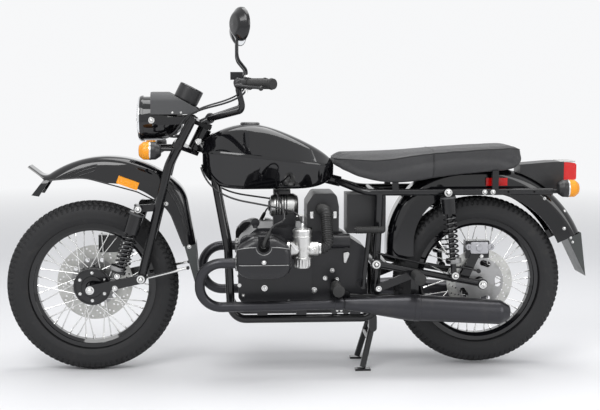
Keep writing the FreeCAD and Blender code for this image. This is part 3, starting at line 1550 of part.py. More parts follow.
def rear_guard():
    """The rear mudguard, its tail bracket and the reflectors' place."""
    crown = [
        (rear_guard_front, rear_axle[2] + s.rear_guard_foot_rise),
        (rear_guard_front, rear_guard_top, s.rear_guard_front_bend),
        (rear_guard_corner, rear_guard_top, s.rear_guard_radius),
        rear_guard_end,
    ]
    channel = guard_channel("rear_mudguard", crown, s.guard_half)
    keep("rear_mudguard", channel)
    tip = (rear_axle[0] + s.rear_flap_tip_run, rear_axle[2] + s.rear_flap_tip_rise)
    mud_flap("rear_flap", crown[2], crown[3], s.rear_flap_depth, tip)
    low = s.tail_lamp_low
    bracket = slab("tail_bracket_block", [
        (s.tail_bracket_x, s.rail_z + s.tail_bracket_foot),
        (s.tail_bracket_x, rear_guard_top + s.tail_bracket_rise),
        (s.tail_lamp_x - s.tail_hood_length, s.tail_lamp_high, s.tail_hood_bend),
        (s.tail_lamp_x, s.tail_lamp_high),
        (s.tail_lamp_x, low),
        (s.tail_lamp_x - s.tail_chin_back, low - s.tail_chin_drop),
    ], s.tail_lamp_half * 2)
    bend = s.rear_guard_radius
    fall = float(rear_guard_top - rear_guard_end[1])
    turn_half = math.atan2(fall, float(rear_guard_end[0] - rear_guard_corner)) / 2
    run_back = bend * math.tan(turn_half)
    centre = (rear_guard_corner - run_back, 0, rear_guard_top - bend)
    tool = cylinder("tail_bracket_tool", bend + gap, s.guard_half * 4,
                    (centre[0], -s.guard_half * 2, centre[2]),
                    ALONG_Y)
    keep("tail_bracket", cut("tail_bracket", bracket, tool))
    lens = slab("tail_lamp_block", [
        (s.tail_lamp_x + gap, low),
        (s.tail_lamp_x + gap, s.tail_lamp_high),
        (s.tail_lamp_x + s.tail_lamp_length, s.tail_lamp_high - s.tail_lens_slope, s.tail_lens_bend),
        (s.tail_lamp_x + s.tail_lamp_length, low, s.tail_lens_corner),
    ], s.tail_lamp_half * 1.9)
    keep("tail_lamp", lens)


def outer_edges(limit):
    """Chooses the edges that lie on a slab's outer face."""
    def chosen(edge):
        box_of = edge.BoundBox
        return box_of.YLength < 1e-3 and abs(box_of.YMin + float(limit)) < 1e-3
    return chosen


def engine_foot(label, x, side):
    """A foot that stands on a cradle tube."""
    low = s.cradle_z + s.frame_radius + gap
    corner = (x, s.cradle_half * side - s.foot_width / 2, low)
    return box(label, (s.foot_length, s.foot_width, s.case_low + s.foot_length - low), corner)


def crankcase():
    """The engine's case, with the saddle that the alternator lies on."""
    x, low, high = s.crank_x, s.case_low, s.case_high
    outline = [
        (x - s.case_front, low + s.case_nose_low, s.case_bend),
        (x - s.case_front, high - s.case_nose_drop, s.case_nose_bend),
        (x - s.case_top_front, high, s.case_top_bend),
        (x + s.case_back, high, s.case_bend),
        (x + s.case_back, low + s.sump_back_rise, s.case_bend),
        (x + s.sump_back, low, s.case_bend),
        (x - s.case_front + s.sump_front, low, s.sump_front_bend),
    ]
    case = slab("case_block", outline, s.case_half * 2)
    saddle_low = s.case_high - s.overrun
    length = s.alternator_length * 0.8
    saddle = box("case_saddle", (length, s.alternator_radius * 1.6, s.alternator_z - saddle_low),
                 (s.alternator_x - length / 2, -s.alternator_radius * 0.8, saddle_low))
    feet = [engine_foot(f"case_foot_{number}", place, side)
            for number, place in enumerate((x - s.foot_length / 2, x + s.case_back - s.foot_length * 1.5))
            for side in (-1, 1)]
    whole = joined("case_whole", case, saddle, *feet)
    hole = cylinder("case_saddle_hole", s.alternator_radius + gap, s.alternator_length * 2,
                    (s.alternator_x - s.alternator_length, 0, s.alternator_z), ALONG_X)
    keep("crankcase", cut("crankcase", whole, hole))


def cylinders():
    """The two finned barrels, from the case to the heads."""
    start = s.case_half + gap
    outline = finned(s.barrel_length, s.fin_count, s.barrel_radius, s.fin_radius)
    keep("cylinders", both("cylinders", turned("barrel", outline, (s.crank_x, -start, s.crank_z), TO_LEFT)))


def finned(length, count, core, reach):
    """Corners (radius, height) of a round body with cooling fins, the last one flush with its end."""
    pitch = length / count
    fin = pitch * s.fin_share
    corners = [(0, 0), (core, 0)]
    for index in range(1, int(count) + 1):
        end = pitch * index
        corners += [(core, end - fin), (reach, end - fin)]
        if index < int(count):
            corners += [(reach, end), (core, end)]
        else:
            corners += [(reach, length)]
    corners += [(0, length)]
    return corners


def heads():
    """The cylinder heads: a core with flat cooling fins, and the exhaust and intake ports."""
    inner = s.case_half + gap + s.barrel_length + gap
    pieces = [slab("head_core", head_outline(s.head_half_x * 0.82, s.head_half_z * 0.8), s.head_thick,
                   middle=inner + s.head_thick / 2)]
    step = s.head_thick / s.head_fins
    thick = step * s.fin_share
    for index in range(int(s.head_fins)):
        middle = inner + step * index + thick / 2
        pieces.append(slab(f"head_fin_{index}", head_outline(s.head_half_x, s.head_half_z), thick,
                           middle=middle))
    port = rod("head_port", (s.crank_x, -s.pipe_port_y, s.pipe_port_z),
               (s.crank_x - s.head_half_x - s.overrun, -s.pipe_port_y, s.pipe_port_z), s.pipe_radius * 1.3)
    pieces.append(port)
    reach = inner + s.head_thick + s.rocker_depth * 0.5
    pieces.append(rod("head_plug", (s.crank_x, -inner - s.head_thick / 2, plug_z),
                      (s.crank_x, -reach, plug_z),
                      s.plug_radius))
    keep("cylinder_heads", both("cylinder_heads", joined("head_left", *pieces)))


def head_outline(half_x, half_z):
    """A rounded rectangle about the crank's axis."""
    x, z, corner = s.crank_x, s.crank_z, s.rocker_corner * 0.7
    return [(x - half_x, z - half_z, corner), (x + half_x, z - half_z, corner),
            (x + half_x, z + half_z, corner), (x - half_x, z + half_z, corner)]


def rocker_covers():
    inner = s.case_half + s.barrel_length + s.head_thick + gap * 3
    outer = inner + s.rocker_depth
    x, z, corner = s.crank_x, s.crank_z, s.rocker_corner
    half_x, half_z = s.rocker_half_x, s.rocker_half_z
    outline = [
        (x - half_x, z - half_z * 0.75, corner),
        (x - half_x * 0.5, z - half_z, corner),
        (x + half_x * 0.5, z - half_z, corner),
        (x + half_x, z - half_z * 0.75, corner),
        (x + half_x, z + half_z * 0.55, corner),
        (x + half_x * 0.4, z + half_z, corner),
        (x - half_x * 0.4, z + half_z, corner),
        (x - half_x, z + half_z * 0.55, corner),
    ]
    cover = slab("rocker_cover", outline, s.rocker_depth, middle=inner + s.rocker_depth / 2,
                 fillet=(s.rocker_fillet, outer_edges(outer)))
    plug = (x, 0, plug_z)
    deep = s.rocker_depth + s.rocker_band_proud
    side = -inner - deep / 2
    collar = slot("plug_collar", plug, (x, 0, plug_z + s.overrun), s.plug_collar, deep, side)
    band_z = z - s.rocker_band_drop
    reach = half_x + s.rocker_band_proud
    front = -outer - s.rocker_band_proud
    bend = s.rocker_fillet + s.rocker_band_proud
    band = slab("rocker_band", [
        (x - reach, -inner - s.overrun),
        (x + reach, -inner - s.overrun),
        (x + reach, front, bend),
        (x - reach, front, bend),
    ], s.rocker_band, "XY_Plane", band_z)
    boss = rod("rocker_boss", (x, -outer + s.overrun, band_z + s.rocker_boss_radius),
               (x, front - s.rocker_band_proud, band_z + s.rocker_boss_radius), s.rocker_boss_radius)
    room = slot("plug_room", plug, (x, 0, plug_z + half_z), s.plug_room, deep * 2, side)
    whole = joined("rocker_whole", cover, collar, band, boss)
    keep("rocker_covers", both("rocker_covers", cut("rocker_left", whole, room)))


def gearbox():
    start = s.crank_x + s.case_back + gap
    bend = s.gearbox_bend
    outline = [
        (start, s.gearbox_low),
        (start, s.gearbox_high),
        (start + s.gearbox_length * 0.5, s.gearbox_high, bend),
        (start + s.gearbox_length, s.gearbox_high - s.gearbox_tail_drop, bend),
        (start + s.gearbox_length, s.gearbox_low + s.gearbox_tail_rise, bend),
        (start + s.gearbox_length * 0.7, s.gearbox_low, bend),
    ]
    case = slab("gearbox_case", outline, s.gearbox_half * 2)
    outward = s.gearbox_half + s.starter_radius - s.overrun
    starter = cylinder("starter", s.starter_radius, s.starter_length, (s.starter_x, -outward, s.starter_z),
                       ALONG_X)
    boss = rod("kick_boss", (s.kick_x, -s.gearbox_half + s.overrun, s.kick_z),
               (s.kick_x, -s.gearbox_half - s.overrun, s.kick_z), s.kick_radius * 2)
    feet = [engine_foot(f"gearbox_foot_{side}", start + s.gearbox_length * 0.7, side) for side in (-1, 1)]
    keep("gearbox", joined("gearbox", case, boss, starter, *feet))


def alternator():
    r, length = s.alternator_radius, s.alternator_length
    bend = s.alternator_bend
    corners = [(0, 0), (r * 0.8, 0, bend), (r, length * 0.16, bend), (r, length * 0.84, bend),
               (r * 0.8, length, bend),
               (0, length)]
    keep("alternator", turned("alternator", corners, (s.alternator_x - length / 2, 0, s.alternator_z),
                              ALONG_X))


def intake():
    """The air box above the gearbox, a carburettor behind each head and the hoses between them."""
    x = s.airbox_x
    low = s.gearbox_high + gap
    step_x, step_z = s.crank_x + s.case_back + gap, s.case_high + gap
    top, bend = s.airbox_high, s.airbox_bend
    outline = [(step_x, low), (step_x, step_z), (x, step_z), (x, top - s.airbox_front_drop, bend),
               (x + s.airbox_front_slope, top, bend), (x + s.airbox_length - s.airbox_back_slope, top, bend),
               (x + s.airbox_length, top - s.airbox_back_drop, bend), (x + s.airbox_length, low)]
    case = slab("air_box_case", outline, s.airbox_half * 2)
    throat_x = s.crank_x + s.head_half_x + gap
    y, z = s.carb_y, s.carb_z
    throat = rod("carb_throat", (throat_x, -y, z), (throat_x + s.carb_length, -y, z), s.carb_throat)
    middle = throat_x + s.carb_length * 0.5
    dome = rod("carb_dome", (middle, -y, z), (middle, -y, z + s.carb_dome_rise), s.carb_dome)
    bowl = rod("carb_bowl", (middle, -y, z), (middle, -y, z - s.carb_bowl_drop), s.carb_bowl)
    keep("carburettors", both("carburettors", joined("carb_left", throat, dome, bowl)))
    start = (throat_x + s.carb_length + gap, -y, z)
    rise = top - s.hose_drop
    hose = bent("intake_hose", [
        start,
        (start[0] + s.hose_reach, -y, z),
        (start[0] + s.hose_rise_place, -y + s.hose_lean, rise),
        (start[0] + s.hose_end_place, -s.airbox_half + s.overrun, rise),
    ], s.hose_bend, s.hose_radius)
    keep("air_box", joined("air_box", case, hose, mirrored(hose)))


def exhaust():
    """A header pipe from each head, bent under the footrest to a cone and a round silencer."""
    start_x = s.crank_x - s.head_half_x - s.overrun - gap
    silencer_start = (s.silencer_x, -s.pipe_low_y, s.silencer_z)
    points = [
        (start_x, -s.pipe_port_y, s.pipe_port_z),
        (s.pipe_front_x, -s.pipe_port_y, s.pipe_port_z),
        (s.pipe_front_x, -s.pipe_low_y, s.pipe_low_z),
        silencer_start,
    ]
    pipe = bent("exhaust_pipe", points, s.pipe_bend, s.pipe_radius)
    keep("exhaust_pipes", both("exhaust_pipes", pipe))
    end = (s.silencer_end_x, -s.pipe_low_y, s.silencer_end_z)
    length = root_sum(*minus(end, silencer_start))
    r = s.silencer_radius
    corners = [
        (0, s.silencer_step),
        (s.pipe_radius * 1.15, s.silencer_step),
        (s.pipe_radius * 1.25, s.silencer_cone * 0.1, s.silencer_mouth_bend),
        (r, s.silencer_cone, s.silencer_cone_bend),
        (r * 0.93, length - s.silencer_lip, s.silencer_tail_bend),
        (r * 0.5, length, s.silencer_tip_bend),
        (r * 0.36, length),
        (r * 0.36, length - s.silencer_lip),
        (0, length - s.silencer_lip),
    ]
    way = FreeCAD.Rotation(V(0, 0, 1), vector(minus(end, silencer_start)))
    keep("silencers", both("silencers", turned("silencer", corners, silencer_start, way)))


TANK_SHARES = (
    # share of length, half width, foot, widest height, top: as shares of the tank's half width or height
    (0.0, 0.46, 0.27, 0.58, 0.77),
    (0.08, 0.76, 0.09, 0.585, 0.87),
    (0.26, 0.96, 0.0, 0.55, 1.0),
    (0.48, 1.0, 0.0, 0.50, 0.985),
    (0.72, 0.92, 0.0, 0.44, 0.80),
    (0.91, 0.68, 0.06, 0.39, 0.585),
    (1.0, 0.38, 0.18, 0.35, 0.42),
)


def fuel_tank():
    """A long drop-shaped tank, widest at its crease, with a tunnel for the backbone."""
    length = s.tank_back - s.tank_front
    tall = s.tank_high - s.tank_low
    sections = []
    for place, wide, foot, waist, top in TANK_SHARES:
        half = s.tank_half * wide
        low = s.tank_low + tall * foot
        mid = s.tank_low + tall * waist
        high = s.tank_low + tall * top
        sections.append((s.tank_front + length * place, [
            (-half * 0.62, low, half * 0.18),
            (half * 0.62, low, half * 0.18),
            (half, mid, half * 0.16),
            (half * 0.5, high, half * 0.42),
            (-half * 0.5, high, half * 0.42),
            (-half, mid, half * 0.16),
        ]))
    shell = lofted("tank_shell", "YZ_Plane", sections)
    start, end = on_head(s.backbone_radius * 0.8), (s.backbone_x, 0, s.backbone_z)
    slope = (end[2] - start[2]) / (end[0] - start[0])
    lean = root_sum(end[0] - start[0], end[2] - start[2]) / (end[0] - start[0])
    rise = (s.backbone_radius + gap) * lean
    front, back = s.tank_front - s.tunnel_end, s.tank_back + s.tunnel_end
    tunnel = slab("tank_tunnel", [
        (front, s.tank_low - s.overrun),
        (front, start[2] + (front - start[0]) * slope + rise),
        (back, start[2] + (back - start[0]) * slope + rise),
        (back, s.tank_low - s.overrun),
    ], s.tunnel_half * 2)
    recess = cylinder("tank_cap_recess", s.cap_radius + s.overrun / 4, s.cap_height * 2,
                      (s.cap_x, 0, s.cap_z))
    rooms = [bent(f"tank_tube_room_{side}", [(x, y * side, z) for x, y, z in cradle_start], s.frame_bend,
                  s.frame_radius + s.overrun) for side in (-1, 1)]
    collar = rod("tank_head_room", on_head(-s.head_room), on_head(s.head_length * 2), s.head_radius * 1.5)
    keep("fuel_tank", cut("fuel_tank", shell, joined("tank_tools", tunnel, recess, *rooms, collar)))


def fuel_cap():
    r = s.cap_radius
    corners = [(0, gap), (r, gap, s.cap_foot_bend), (r, s.cap_height * 0.6, s.cap_rim_bend),
               (r * 0.6, s.cap_height, s.cap_top_bend), (0, s.cap_height)]
    keep("fuel_cap", turned("fuel_cap", corners, (s.cap_x, 0, s.cap_z), UPRIGHT))


SEAT_SHARES = (
    # share of length, half width, foot and top as shares of the seat's height
    (0.0, 0.55, 0.60, 0.80),
    (0.05, 0.76, 0.36, 0.83),
    (0.33, 1.0, 0.0, 0.86),
    (0.48, 1.0, 0.10, 0.89),
    (0.72, 0.97, 0.26, 0.96),
    (0.93, 0.92, 0.32, 1.0),
    (1.0, 0.72, 0.50, 0.93),
)


def seat():
    """The long dual seat, deepest under the rider, with a channel above the mudguard."""
    length = s.seat_back - s.seat_front
    tall = s.seat_high - s.seat_low
    sections = []
    for place, wide, foot, top in SEAT_SHARES:
        half = s.seat_half * wide
        low = s.seat_low + tall * foot
        high = s.seat_low + tall * top
        sections.append((s.seat_front + length * place, [
            (-half * 0.94, low, s.seat_foot_bend),
            (half * 0.94, low, s.seat_foot_bend),
            (half, high, s.seat_edge_bend),
            (-half, high, s.seat_edge_bend),
        ]))
    cushion = lofted("seat_cushion", "YZ_Plane", sections)
    room = s.guard_half + s.overrun
    tall = rear_guard_top + s.overrun - s.seat_low + s.seat_channel_drop
    channel = box("seat_channel", (s.seat_back, room * 2, tall),
                  (rear_guard_front - s.overrun, -room, s.seat_low - s.seat_channel_drop))
    pockets = [rest_block(f"seat_pocket_{number}", *place, gap) for number, place in enumerate(rest_places)]
    pockets += [mirrored(pocket) for pocket in pockets]
    keep("seat", cut("seat", cushion, joined("seat_tools", channel, *pockets)))


def battery_box():
    x = s.battery_x
    high = s.rail_z - s.cross_rail_radius - gap
    back, bend = x + s.battery_length, s.battery_bend
    outline = [(x, s.battery_low), (x, high), (back, high, bend), (back, s.battery_low, bend)]
    keep("battery_box", slab("battery_box", outline, s.battery_half * 2))


def footrests():
    """Riders' and passengers' footrests with their hangers, which also hold the silencers."""
    half = s.cradle_half
    rider = (s.rider_peg_x, 0, s.rider_peg_z)
    plate = slot("rider_hanger", (rider[0], 0, s.cradle_z + s.frame_radius + s.peg_radius + gap), rider,
                 s.peg_radius, s.hanger_thick, -half - s.hanger_thick)
    bar = rod("rider_peg_bar", (rider[0], -half - s.hanger_thick, rider[2]),
              (rider[0], -s.peg_end + s.overrun, rider[2]), s.peg_bar_radius)
    peg = rod("rider_peg", (rider[0], -s.peg_start, rider[2]), (rider[0], -s.peg_end, rider[2]),
              s.peg_radius)
    rider_rest = joined("rider_rest", plate, bar, peg)
    root = (s.cradle_back_x, 0, s.cradle_z + s.hanger_rise)
    seat_of = (s.pillion_peg_x, 0, s.pillion_peg_z)
    plate = slot("pillion_hanger", root, seat_of, s.peg_radius, s.hanger_thick, -hanger_y)
    bolt = rod("pillion_bolt", (root[0], -half - s.frame_radius - gap, root[2]),
               (root[0], -hanger_y, root[2]),
               s.peg_bar_radius)
    bar = rod("pillion_peg_bar", (seat_of[0], -hanger_y, seat_of[2]),
              (seat_of[0], -s.peg_end + s.overrun, seat_of[2]), s.peg_bar_radius)
    peg = rod("pillion_peg", (seat_of[0], -s.peg_start - s.pillion_peg_step, seat_of[2]),
              (seat_of[0], -s.peg_end, seat_of[2]),
              s.peg_radius)
    share = (s.pillion_peg_x - s.silencer_x) / (s.silencer_end_x - s.silencer_x)
    pipe_z = s.silencer_z + (s.silencer_end_z - s.silencer_z) * share
    foot = (seat_of[0], 0, pipe_z + s.silencer_radius * 0.4)
    strap = slot("silencer_strap", seat_of, foot, s.peg_radius, s.hanger_thick, -hanger_y)
    pillion_rest = joined("pillion_rest", plate, bolt, bar, peg, strap)
    keep("footrests", apart("footrests", rider_rest, mirrored(rider_rest), pillion_rest,
                            mirrored(pillion_rest),
                            side_stand_bracket()))


def kick_lever():
    """The kick starter: its shaft, the upright arm and the pedal folded along the machine."""
    base = (s.kick_x, -s.kick_y, s.kick_z)
    top = (s.kick_top_x, -s.kick_y, s.kick_top_z)
    shaft = rod("kick_shaft", (s.kick_x, -s.gearbox_half - s.overrun - gap, s.kick_z), base, s.kick_radius)
    arm = rod("kick_arm", base, top, s.kick_radius)
    pedal = rod("kick_pedal", (top[0] - s.kick_pedal / 2, top[1], top[2]),
                (top[0] + s.kick_pedal / 2, top[1], top[2]),
                s.kick_radius * 1.2)
    keep("kick_lever", joined("kick_lever", shaft, arm, pedal))


def centre_stand():
    """Two legs on the frame's lugs, a cross tube, and a flat foot under each leg."""
    lug = s.stand_lug_half
    top = (s.stand_pivot_x, -lug, s.stand_pivot_z)
    foot = (s.stand_foot_x, -s.stand_foot_half, s.stand_radius)
    leg = rod("stand_leg", top, foot, s.stand_radius)
    eye_start = s.cradle_half - s.stand_radius / 2 - gap
    eye = cylinder("stand_eye", s.stand_radius * 1.3, eye_start - lug + s.stand_radius,
                   (top[0], -eye_start, top[2]),
                   ALONG_Y)
    pad = box("stand_foot", (s.foot_pad * 4, s.foot_pad * 2, s.hanger_thick),
              (foot[0] - s.foot_pad * 2, foot[1] - s.foot_pad, 0))
    side = joined("stand_side", leg, eye, pad)
    cross_at = along(top, foot, s.stand_cross_share)
    cross = rod("stand_cross", cross_at, flip(cross_at), s.stand_radius * 0.9)
    keep("centre_stand", joined("centre_stand", side, mirrored(side), cross))


def side_stand():
    """The side stand, folded back along the left of the cradle."""
    pivot = (s.side_pivot_x, -s.side_pivot_y, s.side_pivot_z)
    end = (pivot[0] + s.side_length, pivot[1], pivot[2] - s.side_radius)
    leg = rod("side_leg", pivot, end, s.side_radius)
    eye = cylinder("side_eye", s.side_radius * 1.7, s.side_radius * 2,
                   (pivot[0], pivot[1] - s.side_radius, pivot[2]),
                   ALONG_Y)
    foot = rod("side_foot", (end[0], end[1], end[2] - s.side_radius * 2),
               (end[0], end[1], end[2] + s.side_radius * 2),
               s.side_radius * 1.1)
    keep("side_stand", joined("side_stand", leg, eye, foot))


def side_stand_bracket():
    """The plate and pin that carry the side stand."""
    pivot = (s.side_pivot_x, -s.side_pivot_y, s.side_pivot_z)
    plate_y = -s.cradle_half - s.hanger_thick
    foot_z = s.cradle_z + s.frame_radius + s.peg_radius + gap
    bracket = slot("side_bracket_plate", (pivot[0], 0, foot_z), (pivot[0], 0, pivot[2]),
                   s.peg_radius, s.hanger_thick, plate_y)
    pin = rod("side_bracket_pin", (pivot[0], plate_y, pivot[2]),
              (pivot[0], -s.side_pivot_y + s.side_radius + gap, pivot[2]), s.peg_radius)
    return joined("side_stand_bracket", bracket, pin)


def cables():
    """Control cables: the part that turns with the fork, and the part that stays with the engine."""
    perch = from_start(bar_points[0], bar_points[1], s.grip_length + s.perch_length / 2)
    lamp_side = s.lamp_radius + s.cable_side * 2
    low = head[2] + s.overrun
    upper = bent("steering_cable", [
        (perch[0], perch[1], perch[2] - s.perch_radius - s.cable_radius * 0.6),
        (perch[0] - s.perch_radius, perch[1] + s.perch_radius * 0.5, perch[2] - s.perch_radius * 3),
        (head[0] - s.cable_side, -lamp_side, low + 140),
        (head[0] - s.cable_side * 3.2, -lamp_side, low + 66),
        (head[0] - s.cable_side * 5.3, -s.fork_half - s.cable_radius * 2, low + 44),
        (head[0] - s.cable_side * 2.1, -s.cable_side * 1.3, low + 44),
    ], [18, 60, 36, 24], s.cable_radius)
    keep("steering_cables", both("steering_cables", upper))
    side = s.tank_half
    top = s.carb_z + s.carb_dome_rise
    carb_x = s.crank_x + s.head_half_x + gap + s.carb_length * 0.5
    low = bent("engine_cable", [
        (s.tank_front - s.overrun, -side * 0.48, s.tank_low + 84),
        (s.tank_front + 22, -side * 0.74, s.tank_low - 18),
        (carb_x - 66, -side * 1.1, s.airbox_high - 50),
        (carb_x, -s.carb_y, top + 56),
        (carb_x, -s.carb_y, top + gap),
    ], [50, 60, 34], s.cable_radius)
    keep("engine_cables", both("engine_cables", low))


def build():
    """Make every piece of the machine."""
    for name, axle in (("front", front_axle), ("rear", rear_axle)):
        tyre(name + "_tyre", axle)
        rim(name + "_rim", axle)
    wheel_hub("front_hub", front_axle, s.front_disc_place, ALONG_Y)
    wheel_hub("rear_hub", rear_axle, s.rear_disc_place, TO_LEFT)
    disc("front_disc", front_axle, s.front_disc_radius, s.front_disc_place, ALONG_Y, round_windows)
    disc("rear_disc", rear_axle, s.rear_disc_radius, s.rear_disc_place, TO_LEFT, long_windows)
    fork()
    fork_links()
    front_shocks()
    front_guard()
    headlamp()
    gauge()
    handlebar()
    hand_controls()
    mirrors()
    signals("front_signals", s.front_signal_x, s.front_signal_y, s.front_signal_z, TO_FRONT, None)
    stalk_x = s.rear_signal_x - s.signal_body * 0.45
    stalk = bent("rear_signal_stalk", [
        (s.rail_end_x + gap, -s.rail_half, s.rail_z),
        (stalk_x, -s.rail_half, s.rail_z),
        (stalk_x, -s.rear_signal_y, s.rear_signal_z),
    ], s.stalk_bend, s.signal_stalk)
    signals("rear_signals", s.rear_signal_x, s.rear_signal_y, s.rear_signal_z, ALONG_X, stalk)
    reflector("front_reflectors", s.front_reflector_x, s.front_reflector_z, s.front_reflector_lean)
    reflector("rear_reflectors", s.rear_reflector_x, s.rear_reflector_z, 0)
    frame_tubes()
    swing_arm()
    calipers()
    rear_shocks()
    rear_guard()
    crankcase()
    cylinders()
    heads()
    rocker_covers()
    gearbox()
    alternator()
    intake()
    exhaust()
    fuel_tank()
    fuel_cap()
    seat()
    battery_box()
    footrests()
    kick_lever()
    centre_stand()
    side_stand()
    cables()


def check_and_write():
    """Stop on any failed object or bad solid, then write one file for each node."""
    doc.recompute()
    failed = [item.Name for item in doc.Objects if "Invalid" in item.State or "Error" in item.State]
    for node, thing in nodes.items():
        shape = thing.Shape
        if shape.isNull() or not shape.isValid() or not shape.Solids:
            failed.append(node)
    if failed:
        raise SystemExit("These pieces failed: " + ", ".join(failed))
    os.makedirs("parts", exist_ok=True)
    for node, thing in nodes.items():
        thing.Shape.exportStep(f"parts/{node}.step")
        print(node, len(thing.Shape.Solids), round(thing.Shape.Volume / 1000))


build()
check_and_write()
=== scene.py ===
"""A solo motorcycle with a flat twin engine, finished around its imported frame.

The front points to -X, the rider's left side to -Y, and z = 0 is the floor. A shape is (points, faces),
with its points in millimetres and four corners to a face. Several shapes make a piece, in metres.
"""

import json
import math

import bmesh
import bpy
import numpy as np
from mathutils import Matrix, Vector
from mathutils.bvhtree import BVHTree


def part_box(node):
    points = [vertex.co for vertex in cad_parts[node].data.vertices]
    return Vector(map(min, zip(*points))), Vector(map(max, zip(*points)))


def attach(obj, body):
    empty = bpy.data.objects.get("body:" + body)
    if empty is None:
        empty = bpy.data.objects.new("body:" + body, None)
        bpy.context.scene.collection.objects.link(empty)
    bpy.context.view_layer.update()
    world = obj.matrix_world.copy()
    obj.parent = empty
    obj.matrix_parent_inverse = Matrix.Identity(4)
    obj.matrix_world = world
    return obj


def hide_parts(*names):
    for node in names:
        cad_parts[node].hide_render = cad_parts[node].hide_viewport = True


MM = 0.001
TURN = 2 * math.pi
LEFT, RIGHT = -1, 1
SIDES = (LEFT, RIGHT)
AHEAD, BACK, OUT, INTO, DOWN, UP = (-1, 0, 0), (1, 0, 0), (0, -1, 0), (0, 1, 0), (0, 0, -1), (0, 0, 1)

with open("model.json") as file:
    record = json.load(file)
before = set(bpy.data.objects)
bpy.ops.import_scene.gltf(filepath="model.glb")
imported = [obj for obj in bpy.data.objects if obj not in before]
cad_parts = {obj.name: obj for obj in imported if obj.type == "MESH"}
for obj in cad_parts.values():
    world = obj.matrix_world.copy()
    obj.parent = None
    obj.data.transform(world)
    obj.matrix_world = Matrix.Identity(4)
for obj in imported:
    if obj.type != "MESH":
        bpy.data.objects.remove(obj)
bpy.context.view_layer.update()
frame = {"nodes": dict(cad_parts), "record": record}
nodes = frame["nodes"]
link = bpy.context.scene.collection.objects.link


# Camera

CAMERA_PLACE, CAMERA_LENS, CAMERA_FILM = (-0.2586, -4.4866, 1.1391), 69.63, 36
CAMERA_YAW, CAMERA_PITCH = math.radians(3.405), math.radians(6.387)


def place_camera():
    """The camera stands where the picture was taken: yaw to the right, pitch downward, no roll."""
    level = math.cos(CAMERA_PITCH)
    way = Vector((math.sin(CAMERA_YAW) * level, math.cos(CAMERA_YAW) * level, -math.sin(CAMERA_PITCH)))
    data = bpy.data.cameras.new("camera")
    data.sensor_width, data.lens = CAMERA_FILM, CAMERA_LENS
    camera = bpy.data.objects.new("camera", data)
    camera.location = CAMERA_PLACE
    camera.rotation_mode = "QUATERNION"
    camera.rotation_quaternion = way.to_track_quat("-Z", "Y")
    link(camera)
    bpy.context.scene.camera = camera


place_camera()


# Shapes


def unit(way):
    way = np.asarray(way, float)
    return way / np.linalg.norm(way)


def basis(axis):
    """Two directions across the axis, and the axis itself, all at right angles."""
    axis = unit(axis)
    side = unit(np.cross(BACK if abs(axis[2]) > 0.9 else UP, axis))
    return side, np.cross(axis, side), axis


def net(rows, columns, close_rows=False, close_columns=True):
    """The faces between neighbouring points of a grid."""
    index = np.arange(rows * columns).reshape(rows, columns)
    if close_rows:
        index = np.vstack([index, index[:1]])
    if close_columns:
        index = np.hstack([index, index[:, :1]])
    corners = index[:-1, :-1], index[1:, :-1], index[1:, 1:], index[:-1, 1:]
    return np.stack(corners, axis=-1).reshape(-1, 4)


def outward(grid, close_rows=False):
    """The shape of a grid closed round its columns, turned over if its faces hold a negative volume."""
    points, faces = grid.reshape(-1, 3), net(*grid.shape[:2], close_rows)
    a, b, c, d = (points[faces[:, k]] for k in range(4))
    volume = np.sum(a * np.cross(b, c)) + np.sum(a * np.cross(c, d))
    return (points, faces[:, ::-1]) if volume < 0 else (points, faces)


def circle(axis, sides):
    """Angles round an axis, and a unit arrow at each: cos t e1 + sin t e2."""
    e1, e2, axis = basis(axis)
    t = np.arange(sides) * TURN / sides
    return t, np.cos(t)[:, None] * e1 + np.sin(t)[:, None] * e2, axis


def turned(place, axis, profile, sides=32, teeth=0, depth=0.04, closed=False):
    """A profile (radius, height) round an axis: place + radius (cos t e1 + sin t e2) + height axis.

    teeth flute it by a factor 1 + depth cos(teeth t) on the radius. A closed profile makes a ring.
    """
    profile = np.array(profile, float)
    t, ring, axis = circle(axis, max(sides, teeth * 4))
    if teeth:
        ring = ring * (1 + depth * np.cos(teeth * t))[:, None]
    return outward(np.asarray(place) + profile[:, 0, None, None] * ring + profile[:, 1, None, None] * axis,
                   closed)


def band(place, axis, inner, outer, wide, edge=0.8, sides=40):
    """A ring round an axis with softened edges."""
    profile = [(inner, 0), (outer - edge, 0), (outer, edge), (outer, wide - edge), (outer - edge, wide),
               (inner, wide)]
    return turned(place, axis, profile, sides, closed=True)


def smooth_path(points, count):
    """A Catmull-Rom line through the points: four neighbours weighted by cubics of the share u."""
    points = np.array(points, float)
    ends = np.vstack([2 * points[0] - points[1], points, 2 * points[-1] - points[-2]])
    place = np.linspace(0, len(points) - 1, count)
    index = np.minimum(place.astype(int), len(points) - 2)
    u = (place - index)[:, None]
    p0, p1, p2, p3 = (ends[index + k] for k in range(4))
    return 0.5 * (2 * p1 + (p2 - p0) * u + (2 * p0 - 5 * p1 + 4 * p2 - p3) * u ** 2
                  + (3 * p1 - p0 - 3 * p2 + p3) * u ** 3)


